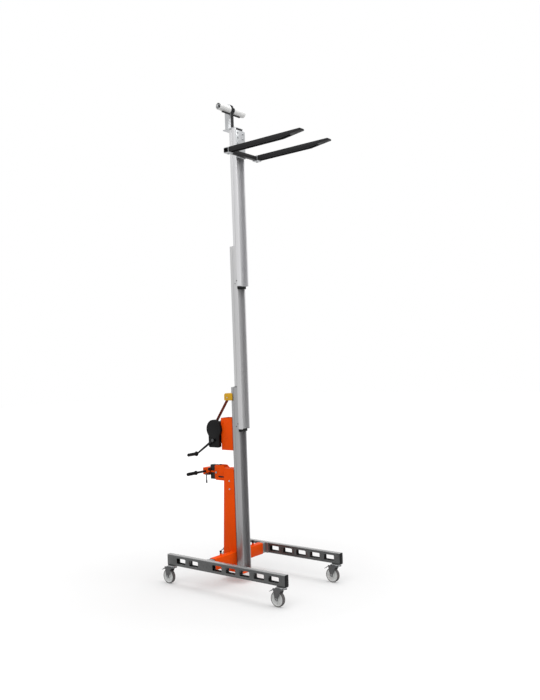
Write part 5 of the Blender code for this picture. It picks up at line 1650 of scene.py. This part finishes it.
@dataclass
class PushHandle(Assembly):
    """Folding push handle: bracket, pivot bolt, arm, clamp, bar and grips."""

    plain: Widths = (("handle_bracket", 0.0014), ("handlebar", 0.0006))
    cheek: float = 0.0040
    slot_start: float = 0.018
    slot_length: float = 0.066
    slot_rise: float = 0.032
    slot_half: float = 0.007
    pad: float = 0.0012
    pad_gap: float = 0.0001
    pad_lap: float = 0.003
    pad_edge: float = 0.0003
    arm_edge: float = 0.0014
    clamp_edge: float = 0.0025
    clamp_facets: int = 3
    tongue: float = 0.007
    tongue_gap: float = 0.002
    knuckle: float = 0.016
    pivot_gap: float = 0.0003
    pivot_shank: float = 0.0059
    pivot_bevel: float = 0.001
    pivot_end: float = 0.0005
    pivot_chamfer: float = 0.88
    clamp_screw: CapScrew = CapScrew(0.0050, 0.0036)
    clamp_screw_half: Pair = (0.026, 0.022)
    grip_mouth: Profile = (
        (0.0, 0.0103), (0.0, 0.0176), (0.002, 0.0196), (0.009, 0.0196), (0.014, 0.0149),
    )
    grip_rib: Profile = ((0.0, 0.0149), (0.0008, 0.0138), (0.0020, 0.0138), (0.0028, 0.0149))
    grip_end: Profile = (
        (0.005, 0.0149), (0.0015, 0.0129), (0.0, 0.0089), (0.0, 0.0), (0.0029, 0.0),
        (0.0029, 0.0103),
    )
    rib_start: float = 0.018
    rib_room: float = 0.026
    rib_pitch: float = 0.0055
    grip_facets: int = 40
    lever_drop: float = 0.0105
    lever_inset: float = 0.0070
    lever_stem: Profile = (
        (0.0, 0.0), (0.0, 0.0040), (0.002, 0.0064), (0.006, 0.0070), (0.024, 0.0070),
        (0.032, 0.0052),
    )
    lever_neck: float = 0.0046
    lever_hub: Profile = ((0.0, 0.0), (0.0, 0.0080), (0.002, 0.0100))
    lever_hub_radius: float = 0.0103
    bolt_facets: int = 28

    def build(self) -> None:
        """Makes the handle's pieces."""
        self.refine_all(self.plain)
        self.build_knuckle()
        self.build_pivot()
        self.build_clamp_screws()
        for side in Side:
            self.build_slot_pad(side)
            self.build_grip(side)
        self.build_lever()

    def build_slot_pad(self, side: Side) -> None:
        """Fits a black sheet inside a cheek, behind its slot: painted shade that darkens the slot.

        Args:
            side: the cheek's side.
        """
        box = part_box("handle_bracket")
        inner = box[1].x - self.cheek
        near, far = side.span(inner - self.pad_gap, inner - self.pad)
        front = box[0].y + self.slot_start
        rear = front + self.slot_length
        middle = box[0].z + self.slot_rise
        half = self.slot_half + self.pad_lap
        low = (near, front - self.pad_lap, middle - half)
        high = (far, rear + self.pad_lap, middle + half)
        # The black sheet is painted shade seen through the slot
        pad = round_edges(block(f"slot_pad_{side.word}", low, high), self.pad_edge)
        self.fit(pad, BLACK_PAINT, "handle_bracket")

    def build_knuckle(self) -> None:
        """Rounds the arm and the clamp, and coats the joint between them.

        The clamp's orange tongue runs between the black halves of the knuckle.
        """
        arm = self.refine("handle_arm", self.arm_edge)
        clamp = self.refine("handle_clamp", self.clamp_edge, segments=self.clamp_facets)
        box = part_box("handle_clamp")
        middle = middle_of(box).z
        low, high = middle - self.tongue, middle + self.tongue
        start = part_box("handle_bracket")[1].y + self.tongue_gap
        end = box[0].y + self.knuckle
        for piece, level in ((arm, start), (clamp, end)):
            cut_across(piece, Axis.Z, low, high)
            cut_across(piece, Axis.Y, level)
        ORANGE.recoat(arm, (-FAR, start, low), (FAR, box[0].y, high))
        BLACK_PAINT.recoat(clamp, high=(FAR, end, low))
        BLACK_PAINT.recoat(clamp, (-FAR, -FAR, high), (FAR, end, FAR))

    def build_pivot(self) -> None:
        """Makes the pivot bolt with a hexagon head and nut."""
        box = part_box("handle_pivot")
        centre = middle_of(box)
        place = (centre.y, centre.z)
        radius = (box[1].z - box[0].z) / 2
        edge = radius * self.pivot_chamfer
        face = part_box("handle_bracket")[1].x + self.pivot_gap
        low, high = box[0].x, box[1].x
        bevel, shank = self.pivot_bevel, self.pivot_shank
        start, end = low + bevel, high - self.pivot_end
        rod = [(start, 0.0), (start, shank), (end, shank), (end, 0.0)]
        head = [(low, 0.0), (low, edge), (start, radius), (-face, radius), (-face, 0.0)]
        nut = [(face, 0.0), (face, radius), (high - bevel, radius), (high, edge), (high, 0.0)]
        bolt = smooth(join("handle_pivot_bolt", [
            turned("shaft", rod, place, Axis.X, self.bolt_facets),
            turned("head", head, place, Axis.X, HEXAGON),
            turned("nut", nut, place, Axis.X, HEXAGON),
        ]))
        self.put_for(bolt, DULL_ZINC, "handle_pivot")

    def build_clamp_screws(self) -> None:
        """Fits four key screws into the clamp's rear face."""
        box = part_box("handle_clamp")
        x, _, z = middle_of(box)
        across, rise = self.clamp_screw_half
        places = [(x + a * across, box[1].y, z + b * rise) for a in SIGNS for b in SIGNS]
        self.fasten("clamp_screws", self.clamp_screw, places, (0.0, 1.0, 0.0), "handle_clamp")

    def build_grip(self, side: Side) -> None:
        """Turns a ribbed rubber grip with a hand stop and a closed end.

        Args:
            side: the end of the bar that it is on.
        """
        node = f"handlebar_grip_{side.word}"
        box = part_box(node)
        centre = middle_of(box)
        inner, outer = sorted((abs(box[0].x), abs(box[1].x)))
        profile = laid(inner, self.grip_mouth)
        for index in range(int((outer - inner - self.rib_room) / self.rib_pitch)):
            profile += laid(inner + self.rib_start + index * self.rib_pitch, self.grip_rib)
        profile += laid(outer, self.grip_end, -1)
        profile = [(side.value * along, radius) for along, radius in profile]
        place = (centre.y, centre.z)
        grip = turned(f"handgrip_{side.word}", profile, place, Axis.X, self.grip_facets)
        self.put_for(grip, BLACK_PLASTIC, node)

    def build_lever(self) -> None:
        """Turns the clamp lever: hub, tapered stem and rounded end."""
        low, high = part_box("handle_lock_lever")
        y = (low.y + high.y) / 2
        hub = high.z - self.lever_drop
        stem = laid(low.z, self.lever_stem) + [(hub, self.lever_neck), (hub, 0.0)]
        boss = laid(low.x, self.lever_hub) + [(high.x, self.lever_hub_radius), (high.x, 0.0)]
        place = (low.x + self.lever_inset, y)
        lever = smooth(join("clamp_lever", [
            turned("stem", stem, place, Axis.Z, self.bolt_facets),
            turned("hub", boss, (y, hub), Axis.X, self.bolt_facets),
        ]))
        self.put_for(lever, DARK_ZINC, "handle_lock_lever")


@dataclass
class Head(Assembly):
    """Post on the mast's top with the two loading rollers."""

    edge: float = 0.0010
    base: float = 0.0063
    base_lip: float = 0.004
    bolt: HexFastener = HexFastener(0.0075, 0.0045, 0.0095, 0.0012)
    bolt_half: float = 0.040
    bolt_insets: Pair = (0.016, 0.058)
    wall: float = 0.0050
    lip: float = 0.0015
    tube_facets: int = 56
    disc_depth: float = 0.009
    disc_wall: float = 0.003
    disc_boss: float = 0.004
    disc_rise: Pair = (0.0085, 0.0075)
    disc_facets: int = 40
    bore: float = 0.0073
    rail_gap: float = 0.0020
    rail_root: float = 0.0030
    rail_length: float = 0.095
    rail_half: float = 0.0070
    rail_height: float = 0.0080
    rail_edge: float = 0.0010

    def build(self) -> None:
        """Makes the bracket, its bolts and the rollers."""
        head = self.refine("head_bracket", self.edge)
        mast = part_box("mast_inner")
        top = mast[1].z + self.base
        # The post's forward-facing faces above its base are coloured black: painted shade on the
        # post's front
        BLACK_PAINT.recoat(head, (-FAR, -FAR, top + self.base_lip), facing=(0.0, -1.0, 0.0))
        places = [
            (sign * self.bolt_half, mast[0].y + inset, top)
            for sign in SIGNS
            for inset in self.bolt_insets
        ]
        self.fasten("head_bolts", self.bolt, places, Axis.Z.value, "head_bracket")
        for side in Side:
            self.build_roller(side)
            self.build_rail(side)

    def build_rail(self, side: Side) -> None:
        """Makes a black strip that runs from the post under a roller: painted shade along the
        roller's underside.

        Args:
            side: the roller's side.
        """
        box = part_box(f"head_roller_{side.word}")
        y = middle_of(box).y
        top = box[0].z - self.rail_gap
        root = min(abs(box[0].x), abs(box[1].x)) - self.rail_root
        near, far = side.span(root, root + self.rail_length)
        low = (near, y - self.rail_half, top - self.rail_height)
        high = (far, y + self.rail_half, top)
        # The black strip is painted shade under the roller
        shade_strip = round_edges(block(f"roller_rail_{side.word}", low, high), self.rail_edge)
        self.fit(shade_strip, BLACK_PAINT, "head_bracket")

    def build_roller(self, side: Side) -> None:
        """Makes a tube roller and the bearing discs set into its ends.

        Args:
            side: the roller's side.
        """
        node = f"head_roller_{side.word}"
        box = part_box(node)
        centre = middle_of(box)
        place = (centre.y, centre.z)
        radius = (box[1].z - box[0].z) / 2
        inside, bore = radius - self.wall, self.bore
        mouth = [(0.0, inside), (0.0, radius - self.lip), (self.lip, radius)]
        profile = laid(box[0].x, mouth) + laid(box[1].x, mouth[::-1], -1)
        tube = turned(f"roller_tube_{side.word}", profile, place, Axis.X, self.tube_facets)
        self.put_for(tube, ROLLER_PLASTIC, node)
        face, back = self.disc_depth, self.disc_depth + self.disc_wall
        raised = face - self.disc_boss
        foot, crest = (bore + rise for rise in self.disc_rise)
        disc = [
            (back, bore), (back, inside), (face, inside), (face, foot), (raised, crest),
            (raised, bore),
        ]
        discs = [
            turned("disc", laid(end, disc, way), place, Axis.X, self.disc_facets)
            for end, way in ((box[0].x, 1), (box[1].x, -1))
        ]
        self.fit(smooth(join(f"roller_bearings_{side.word}", discs)), DULL_ZINC, node)


@dataclass
class Carriage(Assembly):
    """Carriage plate and slider with the crossbar and the two forks."""

    plain: Widths = (
        ("carriage_plate", 0.0012), ("carriage_slider", 0.0004), ("fork_crossbar", 0.0010),
    )
    bolt: HexFastener = HexFastener(0.0085, 0.0050, 0.0110, 0.0015)
    bolt_half: float = 0.036
    bolt_rises: tuple[float, ...] = (0.122, 0.172, 0.216)
    fork_edge: float = 0.0016
    sleeve_lap: float = 0.008
    set_screw: HexFastener = HexFastener(0.0070, 0.0080, 0.0085, 0.0010)

    def build(self) -> None:
        """Makes the carriage, the crossbar and the forks."""
        self.refine_all(self.plain)
        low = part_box("carriage_plate")[0]
        places = [
            (sign * self.bolt_half, low.y, low.z + rise)
            for sign in SIGNS
            for rise in self.bolt_rises
        ]
        self.fasten("carriage_bolts", self.bolt, places, (0.0, -1.0, 0.0), "carriage_plate")
        for side in Side:
            self.build_fork(side)

    def build_fork(self, side: Side) -> None:
        """Rounds a fork, leaves its heel sleeve zinc plated and fits the set screw.

        Args:
            side: the fork's side.
        """
        node = f"fork_{side.word}"
        bar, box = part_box("fork_crossbar"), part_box(node)
        fork = self.refine(node, self.fork_edge)
        ZINC.recoat(fork, (-FAR, bar[0].y - self.sleeve_lap, -FAR))
        place = (middle_of(box).x, middle_of(bar).y, box[0].z)
        name = f"fork_set_screw_{side.word}"
        self.fasten(name, self.set_screw, [place], (0.0, 0.0, -1.0), node)


def dress_nodes(nodes: dict[str, Piece], slots: dict[str, str]) -> None:
    """Gives every CAD node the finish of its slot.

    Args:
        nodes: the CAD nodes by name.
        slots: each node's material slot.
    """
    for name, obj in nodes.items():
        obj.data.materials.clear()
        obj.data.materials.append(PLAIN_FINISHES[slots[name]].material())


def main() -> None:
    """Loads the frame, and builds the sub-assemblies in order."""
    logging.basicConfig(level=logging.INFO, format="%(message)s")
    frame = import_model()
    nodes = frame["nodes"]
    slots = {part["node"]: part["material_slot"] for part in frame["record"]["subparts"]}
    Studio().build()
    dress_nodes(nodes, slots)
    for kind in (Chassis, Casters, Column, Mast, Winch, StrapGuide, PushHandle, Head, Carriage):
        kind(nodes, slots).build()


if __name__ == "__main__":
    main()
